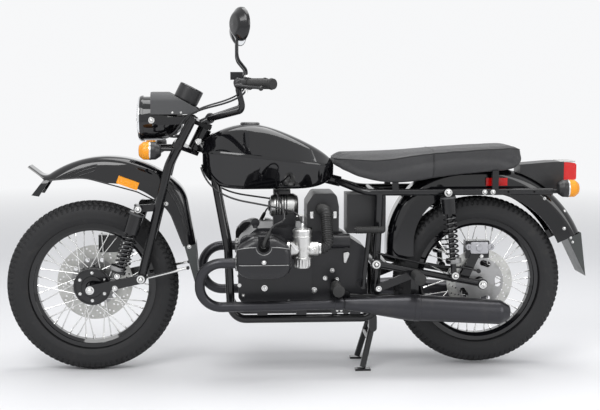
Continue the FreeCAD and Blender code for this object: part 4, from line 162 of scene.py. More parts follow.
def tube(path, radius, sides=12, up=UP, flat=1.0):
    """A round section carried along a path without twisting. flat squeezes it along up."""
    path = np.array(path, float)
    way = np.gradient(path, axis=0)
    way /= np.linalg.norm(way, axis=1)[:, None]
    side = np.cross(way[0], up)
    if np.linalg.norm(side) < 0.05:
        side = basis(way[0])[0]
    carried = []
    for here in way:
        side = unit(side - here * float(side @ here))
        carried.append(side)
    side = np.array(carried)
    over = np.cross(side, way)
    radius = np.broadcast_to(np.asarray(radius, float), len(path))
    t = np.arange(sides) * TURN / sides
    ring = np.cos(t)[None, :, None] * side[:, None] + flat * np.sin(t)[None, :, None] * over[:, None]
    body = path[:, None] + radius[:, None, None] * ring
    return outward(np.vstack([np.repeat(path[:1], sides, 0)[None], body,
                              np.repeat(path[-1:], sides, 0)[None]]))


def corner_arc(back, here, on, radius, steps):
    """The arc that turns the corner at here between its two neighbours."""
    first, last = unit(back - here), unit(on - here)
    half = math.acos(float(np.clip(first @ last, -1, 1))) / 2
    reach = radius / math.tan(half)
    centre = here + unit(first + last) * radius / math.sin(half)
    share = np.linspace(0, 1, steps)[:, None]
    arc = (here + first * reach) * (1 - share) + (here + last * reach) * share - centre
    return centre + arc / np.linalg.norm(arc, axis=1)[:, None] * radius


def rounded(corners, radius, steps=5):
    """A closed flat outline with each corner turned on an arc."""
    corners = np.array(corners, float)
    return np.vstack([corner_arc(back, here, on, radius, steps)
                      for back, here, on in zip(np.roll(corners, 1, 0), corners, np.roll(corners, -1, 0))])


def card(left, right, low, high, radius):
    """A rectangle with rounded corners."""
    return rounded([(left, low), (right, low), (right, high), (left, high)], radius)


def routed(points, bends, count=8):
    """Straight runs with an arc at each inner corner, as a bent pipe lies; bends are the arcs' radii."""
    points = np.array(points, float)
    arcs = [corner_arc(*corner, count) for corner in zip(points[:-2], points[1:-1], points[2:], bends)]
    return np.vstack([points[:1], *arcs, points[-1:]])


def even(line, step):
    """The same line with its points a step apart."""
    place = np.concatenate([[0], np.cumsum(np.linalg.norm(np.diff(line, axis=0), axis=1))])
    wanted = np.linspace(0, place[-1], max(2, int(place[-1] / step)))
    return np.stack([np.interp(wanted, place, line[:, k]) for k in range(3)], 1)


def plate(outline, foot, height, bevel, first=BACK, second=UP, out=OUT):
    """An outline (a, b) on the axes first and second, raised from foot along out, with a bevelled top."""
    outline = np.array(outline, float)
    first, second, out = (np.asarray(v, float) for v in (first, second, out))
    middle = outline.mean(axis=0)
    following = np.roll(outline, -1, 0)
    ahead = following - np.roll(outline, 1, 0)
    inward = np.stack([-ahead[:, 1], ahead[:, 0]], 1)
    inward /= np.linalg.norm(inward, axis=1)[:, None]
    inward *= np.sign(np.sum(outline[:, 0] * following[:, 1] - following[:, 0] * outline[:, 1]))
    levels = [(middle, 0.0), (outline, 0.0), (outline, height - bevel)]
    levels += [(outline + inward * bevel * (1 - math.cos(a)), height - bevel * (1 - math.sin(a)))
               for a in np.linspace(0, math.pi / 2, 4)[1:]]
    rows = []
    for flat, rise in levels + [(middle, height)]:
        flat = np.broadcast_to(flat, outline.shape)
        rows.append(np.asarray(foot) + flat[:, :1] * first + flat[:, 1:] * second + rise * out)
    return outward(np.array(rows))


DOME_TURNS = np.linspace(0, math.pi / 2, 6)[:-1]
HEXAGON_BOLT = (([(0, 0), (1.45, 0), (1.45, 0.22), (0, 0.22)], 20),
                ([(0, 0.22), (1.12, 0.22), (1.12, 0.9), (0.95, 1.1), (0, 1.1)], 6),
                ([(0, 1.1), (0.55, 1.1), (0.5, 1.3), (0.3, 1.42), (0, 1.45)], 12))
ACORN_NUT = (([(0, 0), (1.5, 0), (1.5, 0.2), (0, 0.2)], 20),
             ([(0, 0.2), (1.1, 0.2), (1.1, 0.75), (0.95, 0.9), (0, 0.9)], 6),
             ([(0, 0.9), *((0.9 * math.cos(a), 0.9 + 0.85 * math.sin(a)) for a in DOME_TURNS), (0, 1.75)], 16))


def bolt(place, axis, size, kind=HEXAGON_BOLT):
    """A washer, a six-sided head and its tip or dome; size is half the head's width."""
    shapes = [turned((0, 0, 0), axis, *part) for part in kind]
    return [(points * size + place, faces) for points, faces in shapes]


def sleeve(start, end, inner, outer, pitch, sides=24):
    """A rubber sleeve whose radius swells by a raised cosine at each pitch, with round ends."""
    start, end = np.array(start, float), np.array(end, float)
    length = np.linalg.norm(end - start)
    x = np.linspace(0, length, int(length / pitch) * 8 + 1)
    radius = inner + (outer - inner) * (0.5 - 0.5 * np.cos(TURN * x / pitch)) ** 0.6
    fade = np.minimum(1, np.minimum(x, length - x) / 2.0)
    profile = [(0, 0)] + list(zip(radius * (0.92 + 0.08 * fade), x)) + [(0, length)]
    return turned(start, end - start, profile, sides)


def pair(shapes):
    """The shapes and the same on the machine's other side, with their faces still outward."""
    return list(shapes) + [(points * (1, -1, 1), faces[:, ::-1]) for points, faces in shapes]


def finish_mesh(mesh, crease):
    """Merges poles, makes faces smooth and shows edges sharper than crease hard."""
    work = bmesh.new()
    work.from_mesh(mesh)
    bmesh.ops.remove_doubles(work, verts=work.verts, dist=1e-6)
    work.to_mesh(mesh)
    work.free()
    mesh.shade_smooth()
    mesh.set_sharp_from_angle(angle=crease)


def mesh_of(name, shapes):
    """One mesh in metres of several shapes in millimetres."""
    points = np.vstack([points for points, _ in shapes]) * MM
    starts = np.cumsum([0] + [len(points) for points, _ in shapes[:-1]])
    faces = np.vstack([faces + start for (_, faces), start in zip(shapes, starts)])
    mesh = bpy.data.meshes.new(name)
    mesh.vertices.add(len(points))
    mesh.vertices.foreach_set("co", points.astype(np.float32).ravel())
    mesh.loops.add(faces.size)
    mesh.loops.foreach_set("vertex_index", faces.astype(np.int32).ravel())
    mesh.polygons.add(len(faces))
    mesh.polygons.foreach_set("loop_start", np.arange(0, faces.size, 4, dtype=np.int32))
    mesh.update(calc_edges=True)
    return mesh


def read_points(mesh):
    """A mesh's points in metres."""
    flat = np.zeros(len(mesh.vertices) * 3, np.float32)
    mesh.vertices.foreach_get("co", flat)
    return flat.reshape(-1, 3).astype(float)


def stand(thing, finish, body, replaced=()):
    """Puts a finished object in the scene, on its body, with its finish."""
    if thing.name not in bpy.context.scene.collection.objects:
        link(thing)
    thing.data.materials.clear()
    thing.data.materials.append(finish)
    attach(thing, body)
    if replaced:
        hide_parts(*replaced)
    return thing


def piece(name, shapes, finish, body, crease=0.6, replaced=()):
    """One object made of several closed shapes."""
    mesh = mesh_of(name, shapes)
    finish_mesh(mesh, crease)
    return stand(bpy.data.objects.new(name, mesh), finish, body, replaced)


# Finishes


def feed(tree, made, *numbered, **named):
    """Joins a node's inputs where a socket is given, and sets the others.

    They are pairs of a number and a value, or go by name, with _ for a space.
    """
    for key, value in [*numbered, *named.items()]:
        target = made.inputs[key.replace("_", " ") if isinstance(key, str) else key]
        if isinstance(value, bpy.types.NodeSocket):
            tree.links.new(value, target)
        else:
            target.default_value = value
    return made


def add(tree, kind, settings=None, *numbered, **named):
    """A node of that kind. settings are its own properties."""
    made = tree.nodes.new(kind)
    for name, value in (settings or {}).items():
        setattr(made, name, value)
    return feed(tree, made, *numbered, **named)


def calculate(tree, operation, first, second=None, clamp=False):
    """A Math node on numbers or sockets."""
    numbered = [(0, first)] + ([] if second is None else [(1, second)])
    return add(tree, "ShaderNodeMath", {"operation": operation, "use_clamp": clamp}, *numbered).outputs[0]


def reckon(tree, operation, first, second=(0, 0, 0)):
    """A Vector Math node on vectors or sockets."""
    return add(tree, "ShaderNodeVectorMath", {"operation": operation}, (0, first), (1, second))


def plus(tree, base, value, factor, clamp=False):
    """base + value * factor."""
    return calculate(tree, "ADD", base, calculate(tree, "MULTIPLY", value, factor), clamp)


def wave(tree, value, factor):
    """sin(value * factor)."""
    return calculate(tree, "SINE", calculate(tree, "MULTIPLY", value, factor))


def blend_colour(tree, share, first, second):
    """Colour first where share is 0 and second where it is 1; each is three numbers or a socket."""
    colours = [value + (1,) if isinstance(value, tuple) else value for value in (first, second)]
    return add(tree, "ShaderNodeMix", {"data_type": "RGBA"}, (0, share), *zip((6, 7), colours)).outputs[2]


def shared_group(name, result, **inputs):
    """An empty node group with one float result. An input of None is a vector, and a number is a float."""
    tree = bpy.data.node_groups.new(name, "ShaderNodeTree")
    for label, value in inputs.items():
        kind = "NodeSocketVector" if value is None else "NodeSocketFloat"
        made = tree.interface.new_socket(name=label, in_out="INPUT", socket_type=kind)
        if value is not None:
            made.default_value = value
    tree.interface.new_socket(name=result, in_out="OUTPUT", socket_type="NodeSocketFloat")
    return tree, tree.nodes.new("NodeGroupInput").outputs, tree.nodes.new("NodeGroupOutput")


def grain_group():
    """Height of a fine surface: noise of a small scale and a share of a coarse one."""
    tree, given, end = shared_group("surface_grain", "Height", Vector=None, Scale=900.0)
    scale = given["Scale"]
    fine = add(tree, "ShaderNodeTexNoise", Vector=given["Vector"], Scale=scale, Detail=3.0, Roughness=0.6)
    coarse = add(tree, "ShaderNodeTexNoise", Vector=given["Vector"],
                 Scale=calculate(tree, "MULTIPLY", scale, 0.13), Detail=2.0)
    feed(tree, end, Height=plus(tree, fine.outputs["Fac"], coarse.outputs["Fac"], 0.7))
    return tree


def wear_group():
    """Patches where a finish is rubbed or stained: noise lifted above a limit that Amount lowers."""
    tree, given, end = shared_group("rubbed_patches", "Mask", Vector=None, Scale=14.0, Amount=0.3)
    noise = add(tree, "ShaderNodeTexNoise", Vector=given["Vector"], Scale=given["Scale"], Detail=6.0,
                Roughness=0.65)
    limit = calculate(tree, "SUBTRACT", 0.75, calculate(tree, "MULTIPLY", given["Amount"], 0.4))
    lifted = calculate(tree, "SUBTRACT", noise.outputs["Fac"], limit)
    feed(tree, end, Mask=calculate(tree, "MULTIPLY", lifted, 5.0, clamp=True))
    return tree


def dust_group():
    """Dust that settles where a face looks up, broken by noise."""
    tree, given, end = shared_group("settled_dust", "Mask", Vector=None, Normal=None)
    parts = add(tree, "ShaderNodeSeparateXYZ", Vector=given["Normal"])
    noise = add(tree, "ShaderNodeTexNoise", Vector=given["Vector"], Scale=30.0, Detail=5.0)
    facing = calculate(tree, "MULTIPLY", calculate(tree, "SUBTRACT", parts.outputs["Z"], 0.35), 1.3,
                       clamp=True)
    feed(tree, end, Mask=calculate(tree, "MULTIPLY", facing, noise.outputs["Fac"], clamp=True))
    return tree


def round_group():
    """Distance from a wheel's axle line through a centre, measured across it."""
    tree, given, end = shared_group("distance_from_axle", "Distance", Vector=None, Centre=None)
    moved = reckon(tree, "SUBTRACT", given["Vector"], given["Centre"])
    across = reckon(tree, "MULTIPLY", moved.outputs[0], (1, 0, 1))
    feed(tree, end, Distance=reckon(tree, "LENGTH", across.outputs[0]).outputs["Value"])
    return tree


GRAIN, WEAR, DUST, ROUND = grain_group(), wear_group(), dust_group(), round_group()


def placed(tree, group, **inputs):
    """A shared group in a material, as its one result."""
    return add(tree, "ShaderNodeGroup", {"node_tree": group}, **inputs).outputs[0]


def blank_finish(name):
    """A new material with its tree, its shader and its coordinates' outputs."""
    finish = bpy.data.materials.new(name)
    finish.use_nodes = True
    tree = finish.node_tree
    return finish, tree, tree.nodes["Principled BSDF"], tree.nodes.new("ShaderNodeTexCoord").outputs


def bump(tree, height, depth):
    """The normal of a surface raised by height times depth millimetres."""
    return add(tree, "ShaderNodeBump", Strength=1.0, Distance=depth * MM, Height=height).outputs["Normal"]


DUST_COLOUR = (0.3, 0.28, 0.25)


def surface(name, colour, worn, rough, grain, wear=(14, 0.3), dust=0.0, metallic=0.0, coat=0.0,
            coat_rough=0.05, gloss=0.5):
    """A finish with fine grain, patches of another colour and roughness, and a little settled dust.

    rough is the roughness outside the patches and in them, grain and wear each give a scale and an amount.
    """
    finish, tree, shader, place = blank_finish(name)
    where = place["Object"]
    grains = placed(tree, GRAIN, Vector=where, Scale=grain[0])
    mask = placed(tree, WEAR, Vector=where, Scale=wear[0], Amount=wear[1])
    shade = blend_colour(tree, mask, colour, worn)
    roughness = plus(tree, rough[0], mask, rough[1] - rough[0])
    if dust:
        settled = placed(tree, DUST, Vector=where, Normal=place["Normal"])
        share = calculate(tree, "MULTIPLY", settled, dust)
        shade = blend_colour(tree, share, shade, DUST_COLOUR)
        roughness = plus(tree, roughness, share, 0.3, clamp=True)
    feed(tree, shader, Base_Color=shade, Roughness=roughness, Metallic=metallic, Coat_Weight=coat,
         Coat_Roughness=coat_rough, Specular_IOR_Level=gloss, Normal=bump(tree, grains, grain[1]))
    return finish


def tyre_finish():
    """Tread rubber with a soft grain and stained patches."""
    finish, tree, shader, place = blank_finish("tyre_rubber")
    grains = placed(tree, GRAIN, Vector=place["Object"], Scale=700.0)
    mask = placed(tree, WEAR, Vector=place["Object"], Scale=24.0, Amount=0.45)
    feed(tree, shader, Base_Color=blend_colour(tree, mask, (0.012, 0.012, 0.013), (0.024, 0.023, 0.022)),
         Roughness=plus(tree, 0.52, grains, 0.16), Specular_IOR_Level=0.4, Normal=bump(tree, grains, 0.1))
    return finish


HUB_ENAMEL_RADIUS, DISC_SWEPT_RADIUS = 0.0745, 0.094


def wheel_finish(name, centre):
    """A hub in black enamel inside the spoke circle, and bright drawn steel outside it."""
    finish, tree, shader, place = blank_finish(name)
    where = place["Object"]
    distance = placed(tree, ROUND, Vector=where, Centre=centre)
    grains = placed(tree, GRAIN, Vector=where, Scale=600.0)
    mask = placed(tree, WEAR, Vector=where, Scale=40.0, Amount=0.3)
    spoke = calculate(tree, "GREATER_THAN", distance, HUB_ENAMEL_RADIUS)
    steel = blend_colour(tree, mask, (0.78, 0.78, 0.77), (0.5, 0.49, 0.47))
    feed(tree, shader, Base_Color=blend_colour(tree, spoke, (0.008, 0.008, 0.009), steel), Metallic=spoke,
         Roughness=plus(tree, 0.2, mask, 0.15), Normal=bump(tree, grains, 0.03))
    return finish


def disc_finish(name, centre):
    """Ground steel: fine rings round the axle, darker where the pads don't sweep."""
    finish, tree, shader, place = blank_finish(name)
    distance = placed(tree, ROUND, Vector=place["Object"], Centre=centre)
    mask = placed(tree, WEAR, Vector=place["Object"], Scale=18.0, Amount=0.5)
    rings = wave(tree, distance, 9000.0)
    swept = calculate(tree, "GREATER_THAN", distance, DISC_SWEPT_RADIUS)
    shade = blend_colour(tree, swept, (0.34, 0.34, 0.34), (0.50, 0.50, 0.48))
    feed(tree, shader, Base_Color=blend_colour(tree, mask, shade, (0.27, 0.27, 0.26)), Metallic=1.0,
         Roughness=plus(tree, 0.34, rings, 0.06), Normal=bump(tree, rings, 0.03))
    return finish


def lens_finish(name, colour, deep, ribs):
    """Moulded clear plastic in a strong colour, with fine ribs that scatter the light."""
    finish, tree, shader, place = blank_finish(name)
    parts = add(tree, "ShaderNodeSeparateXYZ", Vector=place["Object"]).outputs
    mask = placed(tree, WEAR, Vector=place["Object"], Scale=30.0, Amount=0.4)
    height = calculate(tree, "ADD", wave(tree, parts["Z"], ribs), wave(tree, parts["Y"], ribs))
    feed(tree, shader, Base_Color=blend_colour(tree, mask, colour, deep),
         Roughness=plus(tree, 0.14, mask, 0.1), Coat_Weight=0.25, Coat_Roughness=0.05,
         Specular_IOR_Level=0.3, Transmission_Weight=0.15, IOR=1.49, Normal=bump(tree, height, 0.2))
    return finish


def glass_finish():
    """Clear glass with faint smears."""
    finish, tree, shader, place = blank_finish("lamp_glass")
    mask = placed(tree, WEAR, Vector=place["Object"], Scale=25.0, Amount=0.35)
    feed(tree, shader, Base_Color=(1, 1, 1, 1), Roughness=plus(tree, 0.02, mask, 0.05),
         Transmission_Weight=1.0, IOR=1.45)
    return finish


def mirror_finish():
    """Silvered glass with faint smears."""
    finish, tree, shader, place = blank_finish("silvered_glass")
    mask = placed(tree, WEAR, Vector=place["Object"], Scale=30.0, Amount=0.3)
    feed(tree, shader, Base_Color=blend_colour(tree, mask, (0.86, 0.88, 0.9), (0.74, 0.76, 0.79)),
         Roughness=plus(tree, 0.03, mask, 0.06), Metallic=1.0)
    return finish


def vinyl_finish():
    """Seat vinyl: small leather cells with painted shade darkening their creases, fine pores, and a softer
    shine where riders sit.
    """
    finish, tree, shader, place = blank_finish("seat_vinyl")
    where = place["Object"]
    cells = add(tree, "ShaderNodeTexVoronoi", {"feature": "DISTANCE_TO_EDGE"}, Vector=where, Scale=420.0,
                Randomness=1.0)
    grains = placed(tree, GRAIN, Vector=where, Scale=1400.0)
    mask = placed(tree, WEAR, Vector=where, Scale=5.0, Amount=0.6)
    creases_and_shade = calculate(tree, "MULTIPLY", cells.outputs["Distance"], 5.0, clamp=True)
    # painted shade: the grain's creases are coloured darker than the cells
    shade = blend_colour(tree, creases_and_shade, (0.013, 0.013, 0.014), (0.030, 0.030, 0.032))
    shade = blend_colour(tree, calculate(tree, "MULTIPLY", mask, 0.5), shade, (0.040, 0.040, 0.043))
    feed(tree, shader, Base_Color=shade, Sheen_Weight=0.12,
         Roughness=calculate(tree, "SUBTRACT", 0.56, calculate(tree, "MULTIPLY", mask, 0.1)),
         Normal=bump(tree, plus(tree, creases_and_shade, grains, 0.25), 0.22))
    return finish


black_paint = surface("black_paint", (0.004, 0.004, 0.005), (0.006, 0.006, 0.007), (0.07, 0.13),
                      (260, 0.012), (9, 0.4), 0.012, coat=0.85, coat_rough=0.03, gloss=0.15)
frame_paint = surface("frame_enamel", (0.006, 0.006, 0.007), (0.012, 0.012, 0.012), (0.24, 0.36),
                      (520, 0.04), dust=0.02, coat=0.5, coat_rough=0.12, gloss=0.25)
engine_paint = surface("engine_enamel", (0.011, 0.011, 0.013), (0.022, 0.022, 0.024), (0.34, 0.5),
                       (620, 0.16), (20, 0.4), 0.04, coat=0.2, coat_rough=0.2, gloss=0.35)
cast_alloy = surface("cast_alloy", (0.62, 0.62, 0.61), (0.42, 0.41, 0.39), (0.32, 0.48), (700, 0.18),
                     (26, 0.5), 0.05, 1.0)
# dull alloy for the exhaust nuts and spring cups; on the rocker beads the same pale metal is a painted
# highlight
dull_alloy_and_highlight = surface("dull_alloy_and_highlight", (0.30, 0.30, 0.30), (0.2, 0.2, 0.2), (0.42, 0.55), (620, 0.2), (26, 0.5),
                     0.05, 1.0)
bright_steel = surface("bright_steel", (0.74, 0.74, 0.73), (0.5, 0.49, 0.47), (0.18, 0.34), (900, 0.03),
                       (45, 0.4), metallic=1.0)
chrome = surface("chrome", (0.84, 0.85, 0.86), (0.7, 0.7, 0.71), (0.05, 0.12), (300, 0.01), (25, 0.3),
                 metallic=1.0)
spring_coat = surface("spring_enamel", (0.007, 0.007, 0.008), (0.02, 0.02, 0.02), (0.2, 0.4), (500, 0.03),
                      (60, 0.3), 0.03, coat=0.7)
cowl_grey = surface("cowl_grey", (0.055, 0.056, 0.058), (0.075, 0.075, 0.078), (0.55, 0.62), (1100, 0.14),
                    (12, 0.5), 0.04)
rubber = surface("moulded_rubber", (0.012, 0.012, 0.012), (0.026, 0.025, 0.024), (0.6, 0.72), (800, 0.12),
                 (22, 0.5), 0.06)
plastic = surface("moulded_plastic", (0.012, 0.012, 0.013), (0.02, 0.02, 0.021), (0.36, 0.48), (1200, 0.08),
                  (18, 0.4), 0.04)
exhaust_coat = surface("exhaust_enamel", (0.030, 0.030, 0.035), (0.042, 0.041, 0.043), (0.3, 0.42),
                       (650, 0.09), (11, 0.5), 0.05, 0.6, coat=0.2, coat_rough=0.25)
flap_rubber = surface("flap_rubber", (0.040, 0.044, 0.043), (0.062, 0.066, 0.064), (0.34, 0.5), (700, 0.12),
                      (16, 0.5), 0.05)
brake_casting = surface("brake_casting", (0.42, 0.42, 0.44), (0.3, 0.3, 0.31), (0.36, 0.5), (640, 0.2),
                        (26, 0.5), 0.05, 0.8)
cable_skin = surface("cable_skin", (0.011, 0.011, 0.012), (0.022, 0.022, 0.022), (0.38, 0.5), (1500, 0.05),
                     (60, 0.4))
# painted highlight: a pale colour for the strip over the tail lamp's lens, where its glossy top catches the
# light
pale_highlight = surface("tail_lamp_highlight", (0.42, 0.42, 0.41), (0.36, 0.35, 0.34), (0.3, 0.4), (900, 0.05),
                     (24, 0.3))
dial_print = surface("dial_print", (0.75, 0.75, 0.73), (0.68, 0.68, 0.66), (0.45, 0.5), (1500, 0.02),
                     (90, 0.3))
tyre_rubber = tyre_finish()
vinyl = vinyl_finish()
amber = lens_finish("amber_plastic", (0.96, 0.36, 0.004), (0.92, 0.27, 0.002), 1500.0)
red = lens_finish("red_plastic", (0.70, 0.004, 0.004), (0.55, 0.002, 0.002), 1300.0)
clear_glass = glass_finish()
silvered = mirror_finish()

# A node with a slot takes the slot's first finish.
SLOT_FINISHES = {
    "rubber_tyre": [tyre_rubber], "black_rim": [black_paint], "gloss_black": [black_paint],
    "satin_black": [frame_paint], "engine_black": [engine_paint], "spring_steel": [spring_coat],
    "bright_alloy": [cast_alloy, dull_alloy_and_highlight, brake_casting], "cowl_grey": [cowl_grey],
    "clear_glass": [clear_glass], "mirror_glass": [silvered], "amber_lens": [amber], "red_lens": [red],
    "black_rubber": [rubber, cable_skin], "black_plastic": [plastic, pale_highlight], "vinyl": [vinyl],
    "exhaust_black": [exhaust_coat], "wheel_steel": [bright_steel], "disc_steel": [bright_steel],
    "chrome_trim": [bright_steel, chrome, dial_print],
}
FRONT_AXLE, REAR_AXLE = np.array((-795.0, 0, 330)), np.array((705.0, 0, 339))


def dress_nodes():
    """Gives every node of the frame the finish of its material slot."""
    slots = {item["node"]: item["material_slot"] for item in frame["record"]["subparts"]}
    for name, thing in nodes.items():
        thing.data.materials.clear()
        thing.data.materials.append(SLOT_FINISHES.get(slots.get(name), [frame_paint])[0])
    for name, axle in (("front", FRONT_AXLE), ("rear", REAR_AXLE)):
        nodes[name + "_hub"].data.materials[0] = wheel_finish(name + "_wheel_steel", tuple(axle * MM))
        nodes[name + "_disc"].data.materials[0] = disc_finish(name + "_disc_steel", tuple(axle * MM))
        nodes[name + "_flap"].data.materials[0] = flap_rubber


dress_nodes()


# Wheels

TREAD_BLOCKS, TREAD_POINTS, TREAD_DEPTH = 92, 920, 5.0
TYRE_MIDDLE, TYRE_SECTION, TYRE_POWER, TYRE_SPAN = 276, 54, 0.87, math.radians(122)
TREAD_EDGE, CROWN_EDGE, INNER_LINE = 0.52, 0.62, 0.2
ZIGZAG, GROOVE_SLOPE, SLOT_SKEW, SLOT_HALF = 0.045, 0.035, 0.35, (0.13, 0.2)
BEAD_LINES, BEAD_WIDE, BEAD_HIGH = (262, 268, 301), 1.6, 0.9
BEAD_FOOT = [(246.5, 31.5), (245.5, 27.5), (232, 26.4), (231, 12)]
SPOKES, SPOKE_LEAN, HUB_FACE, COVER_BOLTS = 40, math.radians(38), 47.5, 6
WHEEL_COVER = [(11, 0), (42, 0), (40, 3.5), (34, 5), (24, 5), (20, 2), (11, 2)]
COVER_RING = [(63, -0.5), (68, -0.5), (67, 2.2), (64, 2.2)]


def ramp(value, low, high):
    """0 below low, 1 above high, and a smooth step between them."""
    share = np.clip((value - low) / (high - low), 0, 1)
    return share * share * (3 - 2 * share)


def zigzag(value):
    """A wave of straight runs between -1 and 1, one period to each whole number."""
    return 4 * np.abs(value - np.floor(value + 0.5)) - 1


def treaded_tyre(name, axle, body):
    """A tyre's section carried round the axle.

    The section is r = 276 + 54 |cos f|^0.87, y = 54 |sin f|^0.87 in millimetres, down to the rim's flange.
    Grooves lower the crown: four zigzag lines run round it, and cross slots part the blocks between them.
    """
    share = np.concatenate([np.linspace(-1, -TREAD_EDGE, 14, endpoint=False),
                            np.linspace(-TREAD_EDGE, TREAD_EDGE, 54), np.linspace(TREAD_EDGE, 1, 15)[1:]])
    f = share * TYRE_SPAN
    radius = TYRE_MIDDLE + TYRE_SECTION * np.sign(np.cos(f)) * np.abs(np.cos(f)) ** TYRE_POWER
    side = TYRE_SECTION * np.sign(f) * np.abs(np.sin(f)) ** TYRE_POWER
    across = share[None, :] / 0.5
    away = np.abs(across)
    turn = np.arange(TREAD_POINTS)[:, None] / TREAD_POINTS * TREAD_BLOCKS
    lean = zigzag(turn) * ZIGZAG
    groove = np.zeros((TREAD_POINTS, len(share)))
    for line, wide in ((-CROWN_EDGE, 0.05), (-INNER_LINE, 0.045), (INNER_LINE, 0.045), (CROWN_EDGE, 0.05)):
        groove = np.maximum(groove, 1 - ramp(np.abs(across - line - lean), wide, wide + GROOVE_SLOPE))
    slot = turn + np.where((away > INNER_LINE) & (away <= CROWN_EDGE), 0.5, 0.0) + across * SLOT_SKEW
    slots = 1 - ramp(np.abs(slot - np.round(slot)), *SLOT_HALF)
    groove = np.maximum(groove, slots * (1 - ramp(away, 1.0, 1.12)))
    fall = groove * TREAD_DEPTH * (1 - ramp(away, 1.05, 1.3))
    rings = sum(np.exp(-((radius - place) / BEAD_WIDE) ** 2) for place in BEAD_LINES) * BEAD_HIGH
    rings = np.where(np.abs(share) > 0.6, rings, 0)
    foot = np.array(BEAD_FOOT + [(r, -y) for r, y in reversed(BEAD_FOOT)]).T
    depth_r = radius[None, :] - fall * np.cos(f)[None, :]
    depth_y = side[None, :] * (1 - fall / 90) + rings[None, :] * np.sign(side)[None, :]
    depth_r, depth_y = (np.hstack([depth, np.broadcast_to(row, (TREAD_POINTS, len(row)))])
                        for depth, row in zip((depth_r, depth_y), foot))
    angle = np.arange(TREAD_POINTS)[:, None] * TURN / TREAD_POINTS
    grid = np.stack([depth_r * np.cos(angle), depth_y, depth_r * np.sin(angle)], -1) + axle
    piece(name + "_tread", [outward(grid, True)], tyre_rubber, body, crease=0.9, replaced=(name,))


def wheel_trim(name, axle, way, cover_side):
    """Spoke nipples at the rim's well, spoke heads at the flanges, the valve, and the hub's bolted cover.

    way is 1 where the wheel's own third axis points right and -1 where it points left.
    """
    shapes = []
    for index in range(SPOKES):
        side, lean = ((-1, 1), (1, 1), (-1, -1), (1, -1))[index % 4]
        rim_angle = TURN * index / SPOKES
        hub_angle = rim_angle - lean * SPOKE_LEAN
        far = np.array((213 * math.cos(rim_angle), 8 * side * way, -213 * math.sin(rim_angle) * way))
        near = np.array((56 * math.cos(hub_angle), 32 * side * way, -56 * math.sin(hub_angle) * way))
        shapes.append(turned(axle + far, near - far, [(0, 0), (3.6, 0), (3.6, 8), (2.6, 15), (0, 15)], 6))
        shapes.append(turned(axle + near + (0, side * way * 3.4, 0), (0, side * way, 0),
                             [(0, 0), (3.4, 0), (3.4, 2.2), (0, 3)], 8))
    shapes.append(turned(axle - (0, 0, 229), UP, [(0, 0), (4, 0), (4, 20), (3, 24), (3, 32), (0, 33)], 12))
    piece(name + "_nipples", shapes, bright_steel, name)
    face, out = axle + (0, HUB_FACE * cover_side, 0), (0, cover_side, 0)
    bolts = []
    for index in range(COVER_BOLTS):
        angle = TURN * (index + 0.5) / COVER_BOLTS
        bolts += bolt(face + (54 * math.cos(angle), 0, 54 * math.sin(angle)), out, 4.2)
    piece(name + "_cover_bolts", bolts, bright_steel, name)
    cover = [turned(face, out, WHEEL_COVER, 48), turned(face, out, COVER_RING, 64, closed=True)]
    piece(name + "_hub_cover", cover, black_paint, name)


treaded_tyre("front_tyre", FRONT_AXLE, "front_wheel")
treaded_tyre("rear_tyre", REAR_AXLE, "rear_wheel")
wheel_trim("front_wheel", FRONT_AXLE, RIGHT, LEFT)
wheel_trim("rear_wheel", REAR_AXLE, LEFT, RIGHT)


# Headlamp and speedometer

LAMP_CENTRE, LENS_RADIUS, LENS_WALL = (-590, 0, 974), 78, 3.2
LAMP_BUCKET = [(0, -148), (30, -147), (46, -141), (60, -124), (70, -104), (78, -84), (83, -64), (84, -40),
               (84, 0), (88, 0), (88, 7), (87, 11), (85, 14), (79, 14.6), (78.5, 11), (78, 4), (77, -1),
               (0, -1)]
LAMP_BULB = [(0, 2), (9, 2), (9, 5), (7, 8), (7, 13), (4, 16), (0, 17)]
LAMP_RIM = [(78, 13), (84.5, 13), (84.2, 17), (82, 20), (78.6, 20.6), (77.6, 18)]


def headlamp():
    """A hollow bucket with its rim, a parabolic bowl in it, a bulb, and a fluted lens.

    The bowl is h = 1.5 + 9.5 (r / 76.5)^2, the lens's dome h = 20.5 + 9.5 (1 - (r / 78)^2), and its back is
    fluted by 0.7 cos(2 pi y / 9).
    """
    def turn(profile, sides=96):
        return [turned(LAMP_CENTRE, AHEAD, profile, sides)]

    piece("headlamp_bucket", turn(LAMP_BUCKET), black_paint, "steering", crease=0.7,
          replaced=("headlamp_shell",))
    bowl = [(r, 1.5 + 9.5 * (r / 76.5) ** 2) for r in np.linspace(0, 76.5, 22)]
    piece("headlamp_bowl", turn(bowl + [(77, 10.5), (76, 2), (0, 0.2)]), chrome, "steering", crease=0.7)
    piece("headlamp_bulb", turn(LAMP_BULB, 32), bright_steel, "steering")
    r = np.linspace(0, LENS_RADIUS, 40)[:, None]
    dome = 20.5 + 9.5 * (1 - (r / LENS_RADIUS) ** 2)
    t, ring, axis = circle(AHEAD, 160)
    flutes = 0.7 * np.cos(TURN * r * np.cos(t) / 9) * ramp(LENS_RADIUS - r, 1, 8)
    front, rear = (LAMP_CENTRE + r[..., None] * ring + high[..., None] * axis
                   for high in (dome, dome - LENS_WALL + flutes))
    glass = [outward(np.vstack([front, rear[::-1]]))]
    piece("headlamp_glass", glass, clear_glass, "steering", crease=1.2, replaced=("headlamp_lens",))
    rim = [turned(LAMP_CENTRE, AHEAD, LAMP_RIM, 96, closed=True)]
    piece("headlamp_rim", rim, chrome, "steering")


